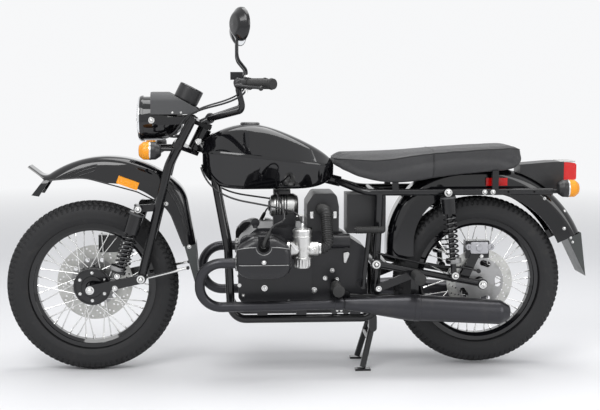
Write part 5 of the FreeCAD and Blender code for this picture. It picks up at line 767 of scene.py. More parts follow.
DIAL_TOP, DIAL_TILT, DIAL_DEPTH = (-407, 0, 1090), math.radians(27), 3.4
DIAL_START, DIAL_SWEEP, DIAL_TICKS = math.radians(-120), math.radians(240), 48
DIAL_RIM = [(42.4, -1), (48.4, -1), (48.4, 1.5), (46.5, 3.4), (43.6, 3.2), (42.4, 1.2)]
DIAL_GLASS = [(0, -1.2), (42.2, -1.2), (42.2, 0), (20, 0.9), (0, 1.2)]
NUMBER_SIZE, NUMBER_THICK, NUMBER_RADIUS = 7.5, 0.12, 24


def speedometer():
    """A dial in the gauge's mouth: a black face, ticks and numbers round it, a needle and its glass."""
    axis = np.array((math.sin(DIAL_TILT), 0, math.cos(DIAL_TILT)))
    side = np.array((0.0, 1.0, 0.0))
    forward = np.cross(axis, side)
    face = DIAL_TOP - axis * DIAL_DEPTH

    def way_at(share):
        """The arrow from the dial's middle at a share of its scale."""
        angle = DIAL_START + DIAL_SWEEP * share
        return math.cos(angle) * forward + math.sin(angle) * side

    def laid(outline, lift, height, bevel, way):
        return plate(outline, face + axis * lift, height, bevel, way, np.cross(axis, way), axis)

    dial = [turned(face, axis, [(0, 0), (42, 0), (42, 0.6), (0, 0.6)], 64)]
    piece("dial_face", dial, plastic, "steering")
    ticks = []
    for index in range(DIAL_TICKS + 1):
        inner, outer, half = (34, 38.5, 0.4) if index % 4 else (30, 38.5, 0.75)
        outline = [(inner, -half), (outer, -half), (outer, half), (inner, half)]
        ticks.append(laid(outline, 0.6, 0.25, 0.05, way_at(index / DIAL_TICKS)))
    piece("dial_ticks", ticks, dial_print, "steering")
    pointer = [laid([(-8, -1.2), (30, -0.4), (30, 0.4), (-8, 1.2)], 1.4, 0.6, 0.1, way_at(0)),
               turned(face, axis, [(0, 0.6), (4, 0.6), (4, 2.2), (0, 2.6)], 24)]
    piece("dial_needle", pointer, red, "steering")
    piece("dial_rim", [turned(DIAL_TOP, axis, DIAL_RIM, 72, closed=True)], black_paint, "steering")
    piece("dial_glass", [turned(DIAL_TOP, axis, DIAL_GLASS, 64)], clear_glass, "steering")
    for number in range(0, 13, 2):
        text = bpy.data.curves.new(f"number_{number}", "FONT")
        text.body = str(number * 10)
        text.size, text.extrude = NUMBER_SIZE * MM, NUMBER_THICK * MM
        text.align_x = text.align_y = "CENTER"
        holder = bpy.data.objects.new(f"dial_number_{number}", text)
        link(holder)
        bpy.context.view_layer.update()
        mesh = bpy.data.meshes.new_from_object(holder)
        bpy.data.objects.remove(holder)
        flat = read_points(mesh)
        centre = (face + axis * 0.8 + way_at(number / 12) * NUMBER_RADIUS) * MM
        points = centre + flat[:, :1] * side + flat[:, 1:2] * forward + flat[:, 2:] * axis
        mesh.vertices.foreach_set("co", points.astype(np.float32).ravel())
        mesh.update()
        stand(bpy.data.objects.new(f"dial_number_{number}", mesh), dial_print, "steering")


headlamp()
speedometer()


# Seat

SEAT_X = np.array([130, 150, 166, 220, 296, 365, 430, 510, 620, 700, 786, 822, 845, 858])
SEAT_HALF = np.array([80, 95, 105, 121, 133, 138, 138, 138, 136, 134, 128, 122, 112, 96])
SEAT_FOOT = np.array([797, 786, 778, 752, 733, 727, 731, 745, 760, 766, 772, 778, 792, 808])
SEAT_EDGE = np.array([829, 829, 828.5, 825.5, 823, 830, 841, 851, 860, 864, 868, 868, 866, 858])
SEAT_CROWN = np.array([838, 842, 842, 843, 844.5, 847, 850, 855, 861, 865, 868.5, 869.5, 868, 861])
SEAT_SHRINK, SEAT_SWELL, SEAT_SEAM_X, SEAT_VOXEL = 4, 6, 510.5, 6
FOOT_SHARE, SIDE_BULGE, CROWN_POWER = 0.93, 0.012, 2.2
CHANNEL_HALF, CHANNEL_START, CHANNEL_Z = (74, 84), (330, 360), 799
HELD_RIM, HELD_CHANNEL_Z, HELD_CHANNEL_HALF = 16, 810, 90
CLOTH_FRAMES, CLOTH_PRESSURE, CLOTH_TENSION, CLOTH_BENDING, CLOTH_QUALITY = 20, 4.0, 18, 2.0, 6


def at_seat(x, values):
    """A seat measure at x: a smooth line through its values."""
    order = np.arange(len(SEAT_X))
    place = np.interp(x, SEAT_X, order)
    return sum(weight * np.interp(np.clip(place + offset, 0, order[-1]), order, values)
               for offset, weight in ((-0.35, 0.25), (0, 0.5), (0.35, 0.25)))


def seat_section(x, shrink):
    """Points of the seat's half section at x, from its foot's middle round to its crown's middle."""
    signs = ((SEAT_HALF, -1), (SEAT_FOOT, 1), (SEAT_EDGE, -1), (SEAT_CROWN, -1))
    half, foot, edge, crown = ((at_seat(x, values) + sign * shrink)[:, None] for values, sign in signs)
    share = np.linspace(0, 1, 12)[None, :]
    low_y = half * FOOT_SHARE * share
    channel = (1 - ramp(low_y, *CHANNEL_HALF)) * ramp(x[:, None], *CHANNEL_START)
    low_z = foot + np.maximum(CHANNEL_Z - foot, 0) * channel
    side_y = half * (FOOT_SHARE + (1 - FOOT_SHARE) * share + SIDE_BULGE * np.sin(share * math.pi))
    side_z = foot + (edge - foot) * share
    top_z = edge + (crown - edge) * (1 - (1 - share) ** CROWN_POWER)
    y = np.hstack([low_y[:, :-1], side_y[:, :-1], half * (1 - share)])
    return y, np.hstack([low_z[:, :-1], side_z[:, :-1], top_z])


def cushion_points(shrink):
    """The closed cushion: sections along the seat, mirrored, each end drawn in to its middle."""
    x = np.concatenate([np.linspace(130, 166, 8, endpoint=False), np.linspace(166, 800, 60, endpoint=False),
                        np.linspace(800, 858, 12)])
    y, z = seat_section(x, shrink)
    left = np.stack([np.broadcast_to(x[:, None], y.shape), -y, z], -1)
    body = np.concatenate([left, (left * (1, -1, 1))[:, -2:0:-1]], axis=1)
    first, last = ([body[index].mean(axis=0) + (body[index] - body[index].mean(axis=0)) * scale + (out, 0, 0)
                    for scale, out in ((0.93, -push), (0.6, -0.5 * push), (0.0, 0.0))]
                   for index, push in ((0, -1.0), (-1, 1.0)))
    return np.concatenate([first[::-1], body, last])


def settle(thing):
    """Turns an object with its modifiers into a plain mesh, which is given back."""
    bpy.context.view_layer.update()
    made = bpy.data.meshes.new_from_object(thing.evaluated_get(bpy.context.evaluated_depsgraph_get()))
    thing.modifiers.clear()
    thing.data = made
    return made


def swollen(thing, cap):
    """Blows the cushion up a little with cloth, and holds every point within cap of where it was."""
    scene = bpy.context.scene
    bpy.context.view_layer.objects.active = thing
    remesh = thing.modifiers.new("even", "REMESH")
    remesh.mode, remesh.voxel_size = "VOXEL", SEAT_VOXEL * MM
    rest = read_points(settle(thing)) / MM
    pins = thing.vertex_groups.new(name="base")
    low = at_seat(rest[:, 0], SEAT_FOOT) + HELD_RIM
    below = (rest[:, 2] < HELD_CHANNEL_Z) & (np.abs(rest[:, 1]) < HELD_CHANNEL_HALF)
    pins.add(np.where((rest[:, 2] < low) | below)[0].tolist(), 1.0, "REPLACE")
    settings = thing.modifiers.new("cloth", "CLOTH").settings
    settings.use_pressure, settings.uniform_pressure_force = True, CLOTH_PRESSURE
    settings.effector_weights.gravity = 0.0
    settings.vertex_group_mass = "base"
    settings.tension_stiffness, settings.bending_stiffness = CLOTH_TENSION, CLOTH_BENDING
    settings.quality = CLOTH_QUALITY
    scene.frame_start, scene.frame_end = 1, CLOTH_FRAMES
    for number in range(1, CLOTH_FRAMES + 1):
        scene.frame_set(number)
    blown = settle(thing)
    step = read_points(blown) / MM - rest
    step *= np.minimum(1, cap / np.maximum(np.linalg.norm(step, axis=1)[:, None], 1e-6))
    blown.vertices.foreach_set("co", ((rest + step) * MM).astype(np.float32).ravel())
    blown.update()
    scene.frame_set(1)


def search_tree(mesh):
    """A search tree over a mesh's faces."""
    faces = [tuple(face.vertices) for face in mesh.polygons]
    return BVHTree.FromPolygons([tuple(p) for p in read_points(mesh)], faces)


def laid_on(tree, line, lift):
    """The nearest points of a skin to a line, lifted off it."""
    found = [tree.find_nearest(Vector(p * MM)) for p in line]
    return np.array([np.array(f[0]) / MM + np.array(f[1]) * lift for f in found])


def seat():
    """The dual seat: a padded cushion, piping along its edge, and its cross seam with stitches beside it."""
    mesh = mesh_of("seat_cushion", [outward(cushion_points(SEAT_SHRINK))])
    finish_mesh(mesh, 3.0)
    cushion = bpy.data.objects.new("seat_cushion", mesh)
    link(cushion)
    swollen(cushion, SEAT_SWELL)
    soften = cushion.modifiers.new("even", "SMOOTH")
    soften.factor, soften.iterations = 0.5, 3
    finer = cushion.modifiers.new("finer", "SUBSURF")
    finer.levels = finer.render_levels = 1
    final = settle(cushion)
    final.shade_smooth()
    tree = search_tree(final)
    x = np.append(np.linspace(133, 850, 90), 857)
    half, edge = at_seat(x, SEAT_HALF), at_seat(x, SEAT_EDGE)
    left = np.stack([x, -half, edge], 1)
    ends = []
    for count, end_x, first, high in ((18, 860, -half[-1], edge[-1]), (16, 128, half[0], edge[0])):
        y = np.linspace(first, -first, count + 2)[1:-1]
        ends.append(np.stack([np.full(count, end_x), y, np.full(count, high)], 1))
    loop = np.vstack([left, ends[0], left[::-1] * (1, -1, 1), ends[1], left[:2]])
    soft = laid_on(tree, loop, 0.6)
    for _ in range(3):
        soft[1:-1] = (soft[:-2] + 2 * soft[1:-1] + soft[2:]) / 4
    piece("seat_piping", [tube(soft, 2.6, 10)], plastic, "chassis", 2.0)
    seam_x = np.full(26, SEAT_SEAM_X)
    half, foot, top = (at_seat(seam_x, values) for values in (SEAT_HALF, SEAT_FOOT, SEAT_EDGE))
    rise = foot + (top - foot) * np.linspace(0, 1, 26)
    runs = [np.stack([seam_x, side * half, rise], 1) for side in SIDES]
    runs.append(np.stack([np.full(50, SEAT_SEAM_X), np.linspace(-1, 1, 50) * half[0], np.full(50, 870)], 1))
    seams = [tube(laid_on(tree, run, 0.2), 1.3, 8, BACK) for run in runs]
    for run in runs[:-1]:
        for offset in (-4, 4):
            marks = laid_on(tree, run + (offset, 0, 0), 0.3)
            seams += [tube(marks[i:i + 2], 0.5, 6, BACK) for i in range(0, 25, 2)]
    piece("seat_seams", seams, plastic, "chassis", 2.0)
    stand(cushion, vinyl, "chassis", replaced=("seat",))


seat()


# Details laid on the frame's nodes

SKINS = {}


def skin_of(name):
    """A search tree over a node's faces, made once."""
    if name not in SKINS:
        SKINS[name] = search_tree(nodes[name].data)
    return SKINS[name]


def touch(name, place, way=INTO):
    """The first point of a node's skin that a ray meets."""
    hit = skin_of(name).ray_cast(Vector(np.array(place) * MM), Vector(way))[0]
    if hit is None:
        raise ValueError(f"nothing of {name} lies from {place} along {way}")
    return np.array(hit) / MM


def touch_side(name, x, z):
    """The point of a node's skin that shows from the left at x and z."""
    return touch(name, (x, -500, z))


def node_box(name):
    """A node's low and high corners in millimetres."""
    return np.array(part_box(name)) / MM


# Bright nuts and bolts: place on the left side, and half the head's width

STEERING_BOLTS = (((-795, -124, 330), 11), ((-691, -130, 384), 7.5), ((-701, -124, 337), 7))
STEERING_NUTS = (((-603, -124, 370), 10), ((-609, -130, 637), 8.5))
CHASSIS_BOLTS = (((705, -137, 339), 11), ((300, -152.6, 330), 7.5), ((-134, -104, 328), 8),
                 ((58, -82, 314), 8), ((-215, -104, 300), 5), ((-40, -104, 275), 5))
CHASSIS_NUTS = (((561, -160, 697), 10), ((593, -160, 378), 9), ((293, -131, 420), 10.5),
                ((708, -125, 695), 6.5), ((740, -125, 695), 6.5))


def fasteners():
    """Nuts and bolts where the photograph shows them bright."""
    for body, bolts, nuts in (("steering", STEERING_BOLTS, STEERING_NUTS),
                              ("chassis", CHASSIS_BOLTS, CHASSIS_NUTS)):
        made = [bolt(place, OUT, size) for place, size in bolts]
        made += [bolt(place, OUT, size, ACORN_NUT) for place, size in nuts]
        piece(body + "_fasteners", pair(sum(made, [])), bright_steel, body)


def cord(name, points, side, radius, body, replaced=()):
    """A free cable, one quadratic curve with the route's points as its control points.

    It leaves the object at its first point and goes back into it at its last. A side of -1 mirrors it.
    """
    route = [np.array(p, float) * (1, side, 1) for p in points]
    data = bpy.data.curves.new(name, "CURVE")
    data.dimensions = "3D"
    data.bevel_depth, data.bevel_resolution = radius * MM, 4
    data.resolution_u, data.use_fill_caps = 16, True
    spline = data.splines.new("NURBS")
    spline.points.add(len(route) - 1)
    for point, place in zip(spline.points, route):
        point.co = (*(place * MM), 1.0)
    spline.order_u, spline.use_endpoint_u = 3, True
    made = stand(bpy.data.objects.new(name, data), cable_skin, body, replaced=replaced)


GRIP_END, GRIP_INNER = np.array((-113.0, -400.0, 1108.0)), np.array((-236.0, -262.0, 1108.0))
ALONG_BAR = unit(GRIP_INNER - GRIP_END)
PERCH = GRIP_END + ALONG_BAR * 133.0
CABLE_RADIUS, LEAD_RADIUS = 3.5, 3.4
STEERING_ROUTE = [PERCH - (0, 0, 21.1), PERCH + (-19, 9.5, -57), (-419, -124, 1001), (-463, -124, 927),
                  (-505, -99, 905), (-441, -26, 905)]
ENGINE_ROUTE = [(-373, -66.2, 790), (-345, -102.1, 688), (-62.7, -151.8, 640), (3.3, -226, 624),
                (3.3, -226, 568.3)]
LEAD_ROUTE = [(-120, -300, 571), (-112, -296, 592), (-82, -292, 604), (-60, -262, 612), (-74, -205, 668),
              (-84, -130, 690), (-84, -80, 690), (-84, -45.5, 690)]


def control_cables():
    """Two cables from the levers to the steering head, and two from the tank's side to the carburettors."""
    for side, label in ((1, "left"), (-1, "right")):
        cord("steering_cable_" + label, STEERING_ROUTE, side, CABLE_RADIUS, "steering", ("steering_cables",))
        cord("engine_cable_" + label, ENGINE_ROUTE, side, CABLE_RADIUS, "chassis", ("engine_cables",))


def ignition():
    """Spark plugs in the covers' notches, their caps, the coil on the generator, and the leads."""
    profile = [(0, 0), (10.5, 0), (10.5, 9), (6.5, 10), (5.6, 12), (5.6, 17), (0, 17)]
    piece("spark_plugs", pair([turned((-142, -294, 520), OUT, profile, 6)]), bright_steel, "chassis")
    path = smooth_path([(-142, -308, 517), (-141, -311, 527), (-133, -307, 546), (-120, -300, 572)], 26)
    radius = np.interp(np.linspace(0, 1, 26), [0, 0.1, 0.45, 0.5, 0.9, 1], [8, 9.5, 9, 8, 7.4, 5.6])
    piece("plug_caps", pair([tube(path, radius, 20)]), rubber, "chassis")
    block = plate(card(-96, -30, -34, 34, 7), (0, 0, 681.5), 17, 2, BACK, INTO, UP)
    tower = [(0, 0), (8, 0), (8, 6), (6.5, 12), (5.5, 13), (0, 13)]
    towers = pair([turned((-84, -33, 690), OUT, tower, 20)])
    piece("ignition_coil", [block] + towers, plastic, "chassis")
    cord("plug_lead_left", LEAD_ROUTE, 1, LEAD_RADIUS, "chassis")
    cord("plug_lead_right", LEAD_ROUTE, -1, LEAD_RADIUS, "chassis")


COVER_MIDDLE, COVER_FLAT, COVER_BEND, COVER_FACE = -142, 74, 26.0, -302.9
NOTCH_RADIUS, NOTCH_Z, BEAD_SUNK = 28.4, 519, 0.3


def rocker_trim():
    """A bead across each rocker cover and down round the plug's notch, a strip, and the centre bolt. The bead
    and strip follow the cover's ribs, and their pale bare-metal colour is a painted highlight along them.

    The cover's outer face is flat and rounded off near its ends.
    """
    turns = np.radians(np.linspace(180, 360, 17))
    flat = [(-236, 511), (-226, 513), (-214, 515.5), (-196, 517.5), (-178, 518.5)]
    line = flat + [(COVER_MIDDLE + NOTCH_RADIUS * math.cos(a),
                    NOTCH_Z + NOTCH_RADIUS * math.sin(a)) for a in turns]
    line = np.array(line + [(2 * COVER_MIDDLE - x, z) for x, z in reversed(flat)])
    over = np.maximum(np.abs(line[:, 0] - COVER_MIDDLE) - COVER_FLAT, 0)
    face = COVER_FACE - np.sqrt(np.maximum(COVER_BEND ** 2 - over ** 2, 0))
    bead = tube(np.stack([line[:, 0], face - BEAD_SUNK, line[:, 1]], 1), 1.7, 10, INTO)
    low = np.array([touch_side("rocker_covers", x, 453) for x in np.linspace(-232, -52, 31)])
    strip = tube(low - (0, 0.4, 0), 1.5, 8, INTO)
    # painted highlight: the bead and strip are pale metal where the cover's ribs catch the light
    piece("rocker_highlight_beads", pair([bead, strip]), dull_alloy_and_highlight, "chassis")
    piece("rocker_bolts", pair(bolt(touch_side("rocker_covers", COVER_MIDDLE, 464), OUT, 5.6)),
          bright_steel, "chassis")


ENGINE_BOLTS = (("gearbox", 128, 391, 6), ("gearbox", 101, 361, 6), ("gearbox", 145, 355, 6),
                ("crankcase", -210, 420, 5), ("crankcase", -230, 340, 5))
FILLER_NECK = [(0, 0), (9, 0), (9, 10), (7, 14), (7, 24), (0, 24)]
FILLER_CAP = [(0, 0), (15, 0), (17, 2), (17, 14), (15, 17), (8, 18), (0, 18)]
GENERATOR_CAP = [(0, 0), (34, 0), (33, 3), (20, 4), (18, 8), (0, 8)]


def crankcase_trim():
    """Filler cap, engine and gearbox bolts, and the generator's ribs and end cap."""
    black = [turned((-168, -80, 558), UP, FILLER_NECK, 20),
             turned((-168, -70, 578), OUT, FILLER_CAP, 48, 12, 0.03),
             turned((-107.5, 0, 634), AHEAD, GENERATOR_CAP, 48, 8, 0.02)]
    black += [band((x, 0, 634), BACK, 47.6, 50.4, 4.5, 1.2, 72) for x in range(-88, -47, 10)]
    bright = [bolt(touch_side(node, x, z), OUT, size) for node, x, z, size in ENGINE_BOLTS]
    piece("engine_trim", black, engine_paint, "chassis")
    piece("engine_bolts", pair(sum(bright, [])), bright_steel, "chassis")


CARBURETTOR = np.array((3.3, -226.0, 498.0))
HOSE_ROUTE = ((62.6, -226, 498), (100.6, -226, 498), (96.6, -166, 630), (82.6, -95, 630))
HOSE_RADIUS, HOSE_WAVE, HOSE_END, HOSE_BEND, HOSE_STEP, HOSE_PITCH = 20.6, 2.0, 21.2, 30, 1.3, 8.5
BOWL = [(0, 0), (25, 0), (28, 3), (29.6, 8), (29.6, 32), (0, 32)]
BOWL_FLANGE = [(0, 0), (35, 0), (36, 1), (36, 6), (35, 7), (0, 7)]
CARBURETTOR_CAP = [(0, 0), (35.4, 0), (35.8, 2), (35.8, 8), (31, 12), (16, 14), (0, 14)]
CABLE_NUT = [(0, 0), (7, 0), (7, 5), (5, 6), (5, 20), (3.6, 22), (0, 22)]
SPINDLE_COVER = [(0, 0), (13, 0), (13, 10), (11, 12), (6, 13), (0, 13)]
FLANGE_SCREW, CLAMP_SCREW = [(0, 0), (3.2, 0), (3.2, 2), (2.4, 3), (0, 3)], [(0, 0), (3.4, 0), (3.4, 13),
                                                                             (0, 13)]


def carburettor_trim():
    """Ribbed float bowl, flange with screws, cable cap, spindle cover with its lever, and both clamps."""
    def at(x, y, z):
        return CARBURETTOR + (x, y, z)

    alloy = [
        turned(at(0, 0, -71), UP, BOWL, 96, 18, 0.045),
        turned(at(0, 0, -38), UP, BOWL_FLANGE, 64, 4, 0.05),
        turned(at(0, 0, 62), UP, CARBURETTOR_CAP, 64, 16, 0.012),
        turned(at(37, -20, 0), OUT, SPINDLE_COVER, 40, 10, 0.02),
        band(at(0, 0, 44), UP, 33.5, 36, 5, 1.4, 64),
    ]
    steel = [turned(at(0, 0, 74), UP, CABLE_NUT, 24, 6, 0.05)]
    for a in np.radians((45, 135, 225, 315)):
        steel.append(turned(at(31 * math.cos(a), 31 * math.sin(a), -31.5), UP, FLANGE_SCREW, 12))
    steel += bolt(at(37, -33, 0), OUT, 4.2)
    lever = rounded([(-4, -6), (6, -6), (30, 20), (26, 26), (20, 24), (-4, 6)], 2.4)
    steel.append(plate(lever, at(-18, -27, 2), 3, 0.5, AHEAD))
    for x, inner in ((-52.5, 28.8), (64.5, 21.4)):
        ring_at = (x, CARBURETTOR[1], CARBURETTOR[2])
        steel.append(band(ring_at, BACK, inner, inner + 1.3, 8, 0.4, 48))
        steel.append(turned(ring_at + np.array((4, -inner - 1, -6)), UP, CLAMP_SCREW, 10))
    piece("carburettor_castings", pair(alloy), cast_alloy, "chassis")
    piece("carburettor_screws", pair(steel), bright_steel, "chassis")


def intake_trim():
    """The corrugated hoses to the air box with their rubber joints, and the box's lid with its clips."""
    line = even(routed(HOSE_ROUTE, [HOSE_BEND, HOSE_BEND], 12), HOSE_STEP)
    radius = HOSE_RADIUS + HOSE_WAVE * np.cos(TURN * np.arange(len(line)) * HOSE_STEP / HOSE_PITCH)
    radius[:10] = radius[-8:] = HOSE_END
    joint = band((-55.5, CARBURETTOR[1], CARBURETTOR[2]), BACK, 25.8, 29, 16, 2, 48)
    piece("intake_hoses", pair([tube(line, radius, 28, INTO), joint]), rubber, "chassis", crease=0.9)
    lid = plate(card(28.6, 153.4, -96.4, 96.4, 9), (0, 0, 604), 7, 2, BACK, INTO, UP)
    piece("air_box_lid", [lid], plastic, "chassis")
    clips = [plate(card(-7, 7, -13, 13, 3), (x, -96, 608), 3.4, 1) for x in (48, 136)]
    piece("air_box_clips", pair(clips), bright_steel, "chassis")


def exhaust_trim():
    """Fluted nuts at the ports, clamps where pipe meets silencer, and bands at the silencer's hanger."""
    nut = [(19.4, 0), (28, 0), (29, 2), (29, 13), (27, 16), (21, 18), (19.2, 18)]
    clamps = [band((130, -190, 279.5), (1, 0, 0.015), 18.8, 22.6, 30, 1.2, 48),
              band((428, -190, 263.3), (1, 0, -0.063), 47, 51.6, 22, 1.2, 72)]
    bolts = bolt((138, -190, 257), DOWN, 4.4) + bolt((153, -190, 257), DOWN, 4.4)
    piece("exhaust_nuts", pair([turned((-228.6, -228, 446), AHEAD, nut, 96, 12, 0.05)]), dull_alloy_and_highlight,
          "chassis")
    piece("exhaust_clamps", pair(clamps), exhaust_coat, "chassis")
    piece("exhaust_bolts", pair(bolts), bright_steel, "chassis")


def rubbers():
    """Ribbed rubbers on the footrests and the kick pedal, and the hand grips."""
    feet = []
    for x, z, start in ((136, 344, 152), (440, 385, 162)):
        feet += [sleeve((x, -start, z), (x, -274, z), 17.2, 20.6, 9.5, 32),
                 turned((x, -271, z), OUT, [(0, 0), (22, 0), (22.6, 2), (22, 5), (18, 7), (0, 7.5)])]
    pedal = sleeve((210, -152, 556), (316, -152, 556), 12.2, 14, 8)
    piece("foot_rubbers", pair(feet) + [pedal], rubber, "chassis", crease=0.9)
    start, end, inner = (GRIP_END + ALONG_BAR * along for along in (1.5, 118.5, 114))
    grips = [sleeve(start, end, 17.3, 18.5, 4.6, 36),
             turned(start, -ALONG_BAR, [(0, -4), (20.5, -4), (21, -2), (20, 2), (15, 5), (0, 6)], 36),
             turned(inner, ALONG_BAR, [(0, 0), (21.5, 0), (22, 1.5), (21, 4), (0, 4)], 36)]
    piece("grip_rubbers", pair(grips), rubber, "steering", crease=0.9)


SWITCH_POD = [(0, 0), (17, 0), (18.5, 1.5), (18.5, 18), (19.2, 19), (19.2, 20), (18.5, 21), (18.5, 31),
              (16, 33), (0, 33)]
ADJUSTER = [(0, -2), (6.5, -2), (6.5, 5), (4.8, 6), (4.8, 13), (0, 13)]
SWITCH_KEY = [(0, 0), (4.4, 0), (4.4, 3), (3.6, 4), (0, 4.2)]


def hand_fittings():
    """Lever blades with ball ends, switch housings with buttons, cable adjusters and clamp bolts."""
    elbow, wrist = PERCH + (-36, -12.7, -5), GRIP_END + (-39.6, -3.2, -15)
    line = smooth_path([PERCH + (-8, -2, -3), elbow, elbow * 0.55 + wrist * 0.45 + (-3, 0, 0), wrist], 40)
    radius = np.interp(np.linspace(0, 1, 40), [0, 0.3, 0.9, 1], [9, 7.5, 5.6, 6])
    ball = [(max(9 * math.sin(a), 0), -9 * math.cos(a)) for a in np.linspace(0, math.pi, 11)]
    pod = GRIP_END + ALONG_BAR * 150
    black = [tube(line, radius, 16, flat=0.62), turned(wrist, UP, ball, 24),
             turned(pod, ALONG_BAR, SWITCH_POD, 40)]
    side = unit(np.cross(ALONG_BAR, UP))
    keys = []
    for turn, shift in ((150, 9), (110, 22), (190, 14)):
        way = side * math.cos(math.radians(turn)) + np.array(UP) * math.sin(math.radians(turn))
        keys.append(turned(pod + ALONG_BAR * shift + way * 17.5, way, SWITCH_KEY, 20))
    steel = [turned(PERCH - (0, 0, 19), DOWN, ADJUSTER, 60, 12, 0.04),
             turned(PERCH + (0, 0, 24.3), UP, [(0, 0), (9, 0), (9, 6), (7.5, 7), (0, 7)], 6)]
    for shift in (-6.5, 6.5):
        steel += bolt(PERCH + ALONG_BAR * shift + side * 18.6, side, 3.4)
    piece("lever_blades", pair(black), plastic, "steering")
    piece("hand_bolts", pair(steel), bright_steel, "steering")
    piece("switch_keys", pair(keys), cowl_grey, "steering")


def mudguard_trim():
    """Pressed ribs on the front mudguard's cheeks and tail, and the rolled edge of its skirt."""
    ribs = []
    for step in (0, 15.0, 30.0):
        front = [(-878 + step * 0.35, -90, 768 - step), (-838, -90, 787 - step), (-800, -90, 801 - step),
                 (-765 - step * 0.3, -90, 809 - step)]
        tail = [(-474 - step, -90, 722 - step * 0.4), (-444 - step, -90, 672 - step * 0.3),
                (-420 - step, -90, 610), (-398 - step, -90, 534)]
        ribs += [tube(laid_on(skin_of("front_mudguard"), smooth_path(line, 40), 0.6), 2.1, 8, INTO)
                 for line in (front, tail)]
    corners = [(x, -70.6, z) for x, z in ((-944, 744), (-815, 754), (-615, 698), (-500, 640), (-445, 495))]
    ribs.append(tube(even(routed(corners, [200, 120, 120], 14), 6), 2.6, 10, INTO))
    piece("front_mudguard_ribs", pair(ribs), black_paint, "steering", crease=0.9)


def lamp_trim():
    """A pale strip over the rear lens as a painted highlight, rings behind the signals' lenses, and the cap's
    fluted edge.
    """
    low, high = node_box("tail_lamp")
    half = high[1] + 1.2
    # painted highlight: a pale strip laid over the top of the lens
    strip = plate(card(low[0] - 16, high[0] - 4, -half, half, 6), (0, 0, high[2] - 1.5), 4.2, 1.2, BACK,
                  INTO, UP)
    piece("tail_lamp_highlight_strip", [strip], pale_highlight, "chassis")
    for name, place, body in (("front", (-559, -190, 862), "steering"),
                              ("rear", (1019, -150, 710), "chassis")):
        piece(name + "_signal_rings", pair([band(place, BACK, 32.4, 34.2, 6, 1)]), bright_steel, body)
    low, high = node_box("fuel_cap")
    middle, r = (low + high) / 2, (high[0] - low[0]) / 2
    edge = [(0, 0), (r + 0.6, 0), (r + 1, 1), (r + 1, 7), (r - 2, 10), (r - 8, 11.4), (0, 12)]
    rim = turned((middle[0], middle[1], high[2] - 11), UP, edge, 160, 36, 0.012)
    piece("fuel_cap_rim", [rim], black_paint, "chassis")


BLEED_SCREW = [(0, -1), (5, -1), (5, 5), (2.6, 6), (2.6, 12), (3.4, 13), (0, 14)]


def caliper_trim():
    """The front caliper's bolts, and the rear caliper's casting with its bosses, bolts and bleed screw."""
    front = [bolt(touch("front_caliper", (x, 400, 492), OUT), INTO, 6.5) for x in (-758, -704)]
    piece("front_caliper_bolts", sum(front, []), bright_steel, "steering")
    rear = [turned(touch("rear_caliper", (691, -76, 700), DOWN), UP, BLEED_SCREW, 12)]
    rear += bolt((706, -98.5, 443), OUT, 5)
    body = rounded([(664, 452), (731, 452), (735, 470), (731, 499), (664, 499), (660, 470)], 7)
    casting = [plate(body, (0, -87.6, 0), 11, 3), plate(card(654, 744, 470, 489, 6), (0, -87.6, 0), 8, 2),
               turned((697, -98, 476), OUT, [(0, 0), (14, 0), (14, 1.5), (12, 3), (0, 3.2)], 40)]
    for x in (656, 742):
        casting.append(band((x, -87, 479), OUT, 6.4, 12.5, 14, 1.6, 36))
        rear += bolt((x, -88, 479), OUT, 4.2)
    piece("rear_caliper_bolts", rear, bright_steel, "chassis")
    piece("rear_caliper_casting", casting, brake_casting, "chassis")


SHROUD_RADIUS = 28
SHOCKS = (("rear", (561, -148, 697), (593, -148, 378), 64, "chassis"),
          ("front", (-609, -118, 637), (-701, -118, 385), 38, "steering"))


def shock_trim():
    """A cap at the top and a cup at the foot of each shock's spring."""
    r = SHROUD_RADIUS
    for label, top, foot, cup_rise, body in SHOCKS:
        down = unit(np.subtract(foot, top))
        cap = band(top + down * 17, down, r - 3, r + 1.6, 7, 1.6, 48)
        cup_at = foot - down * cup_rise
        cup = [band(cup_at, down, r + 0.2, r + 1.4, 13, 0.4, 48),
               band(cup_at + down * 12, down, 11, r + 1.4, 4, 1.4, 48)]
        piece(label + "_shock_caps", pair([cap]), cowl_grey, body)
        piece(label + "_spring_cups", pair(cup), dull_alloy_and_highlight, body)


def rods_and_levers():
    """The mudguard's bright stay rods, the rear brake's stay, and the clutch arm on the gearbox."""
    start, end = np.array((-598.0, -100, 368)), np.array((-427.0, -75.3, 405))
    way = unit(end - start)
    stay = tube(np.linspace(start + way * 20, end - way * 6, 12), 5.7, 16)
    piece("mudguard_stays", pair([stay]), bright_steel, "steering")
    brake = smooth_path([(296, -110, 462), (400, -110, 436), (520, -110, 411), (640, -110, 400),
                         (694, -104, 386)], 60)
    eye = turned((694, -109, 386), INTO, [(0, 0), (8, 0), (8.5, 1), (8.5, 8), (0, 8)], 24)
    piece("brake_stay", [tube(brake, 4, 12), eye], frame_paint, "chassis")
    place = touch_side("gearbox", 182, 446)
    arm = rounded([(-12, 14), (-10, -24), (-2, -26), (12, 10), (6, 18)], 4)
    clutch = [turned(place, OUT, [(0, -1), (9, -1), (9, 8), (7, 9), (0, 9)], 24),
              plate(arm, place - (0, 7, 0), 4, 1)]
    piece("clutch_arm", clutch, cast_alloy, "chassis")


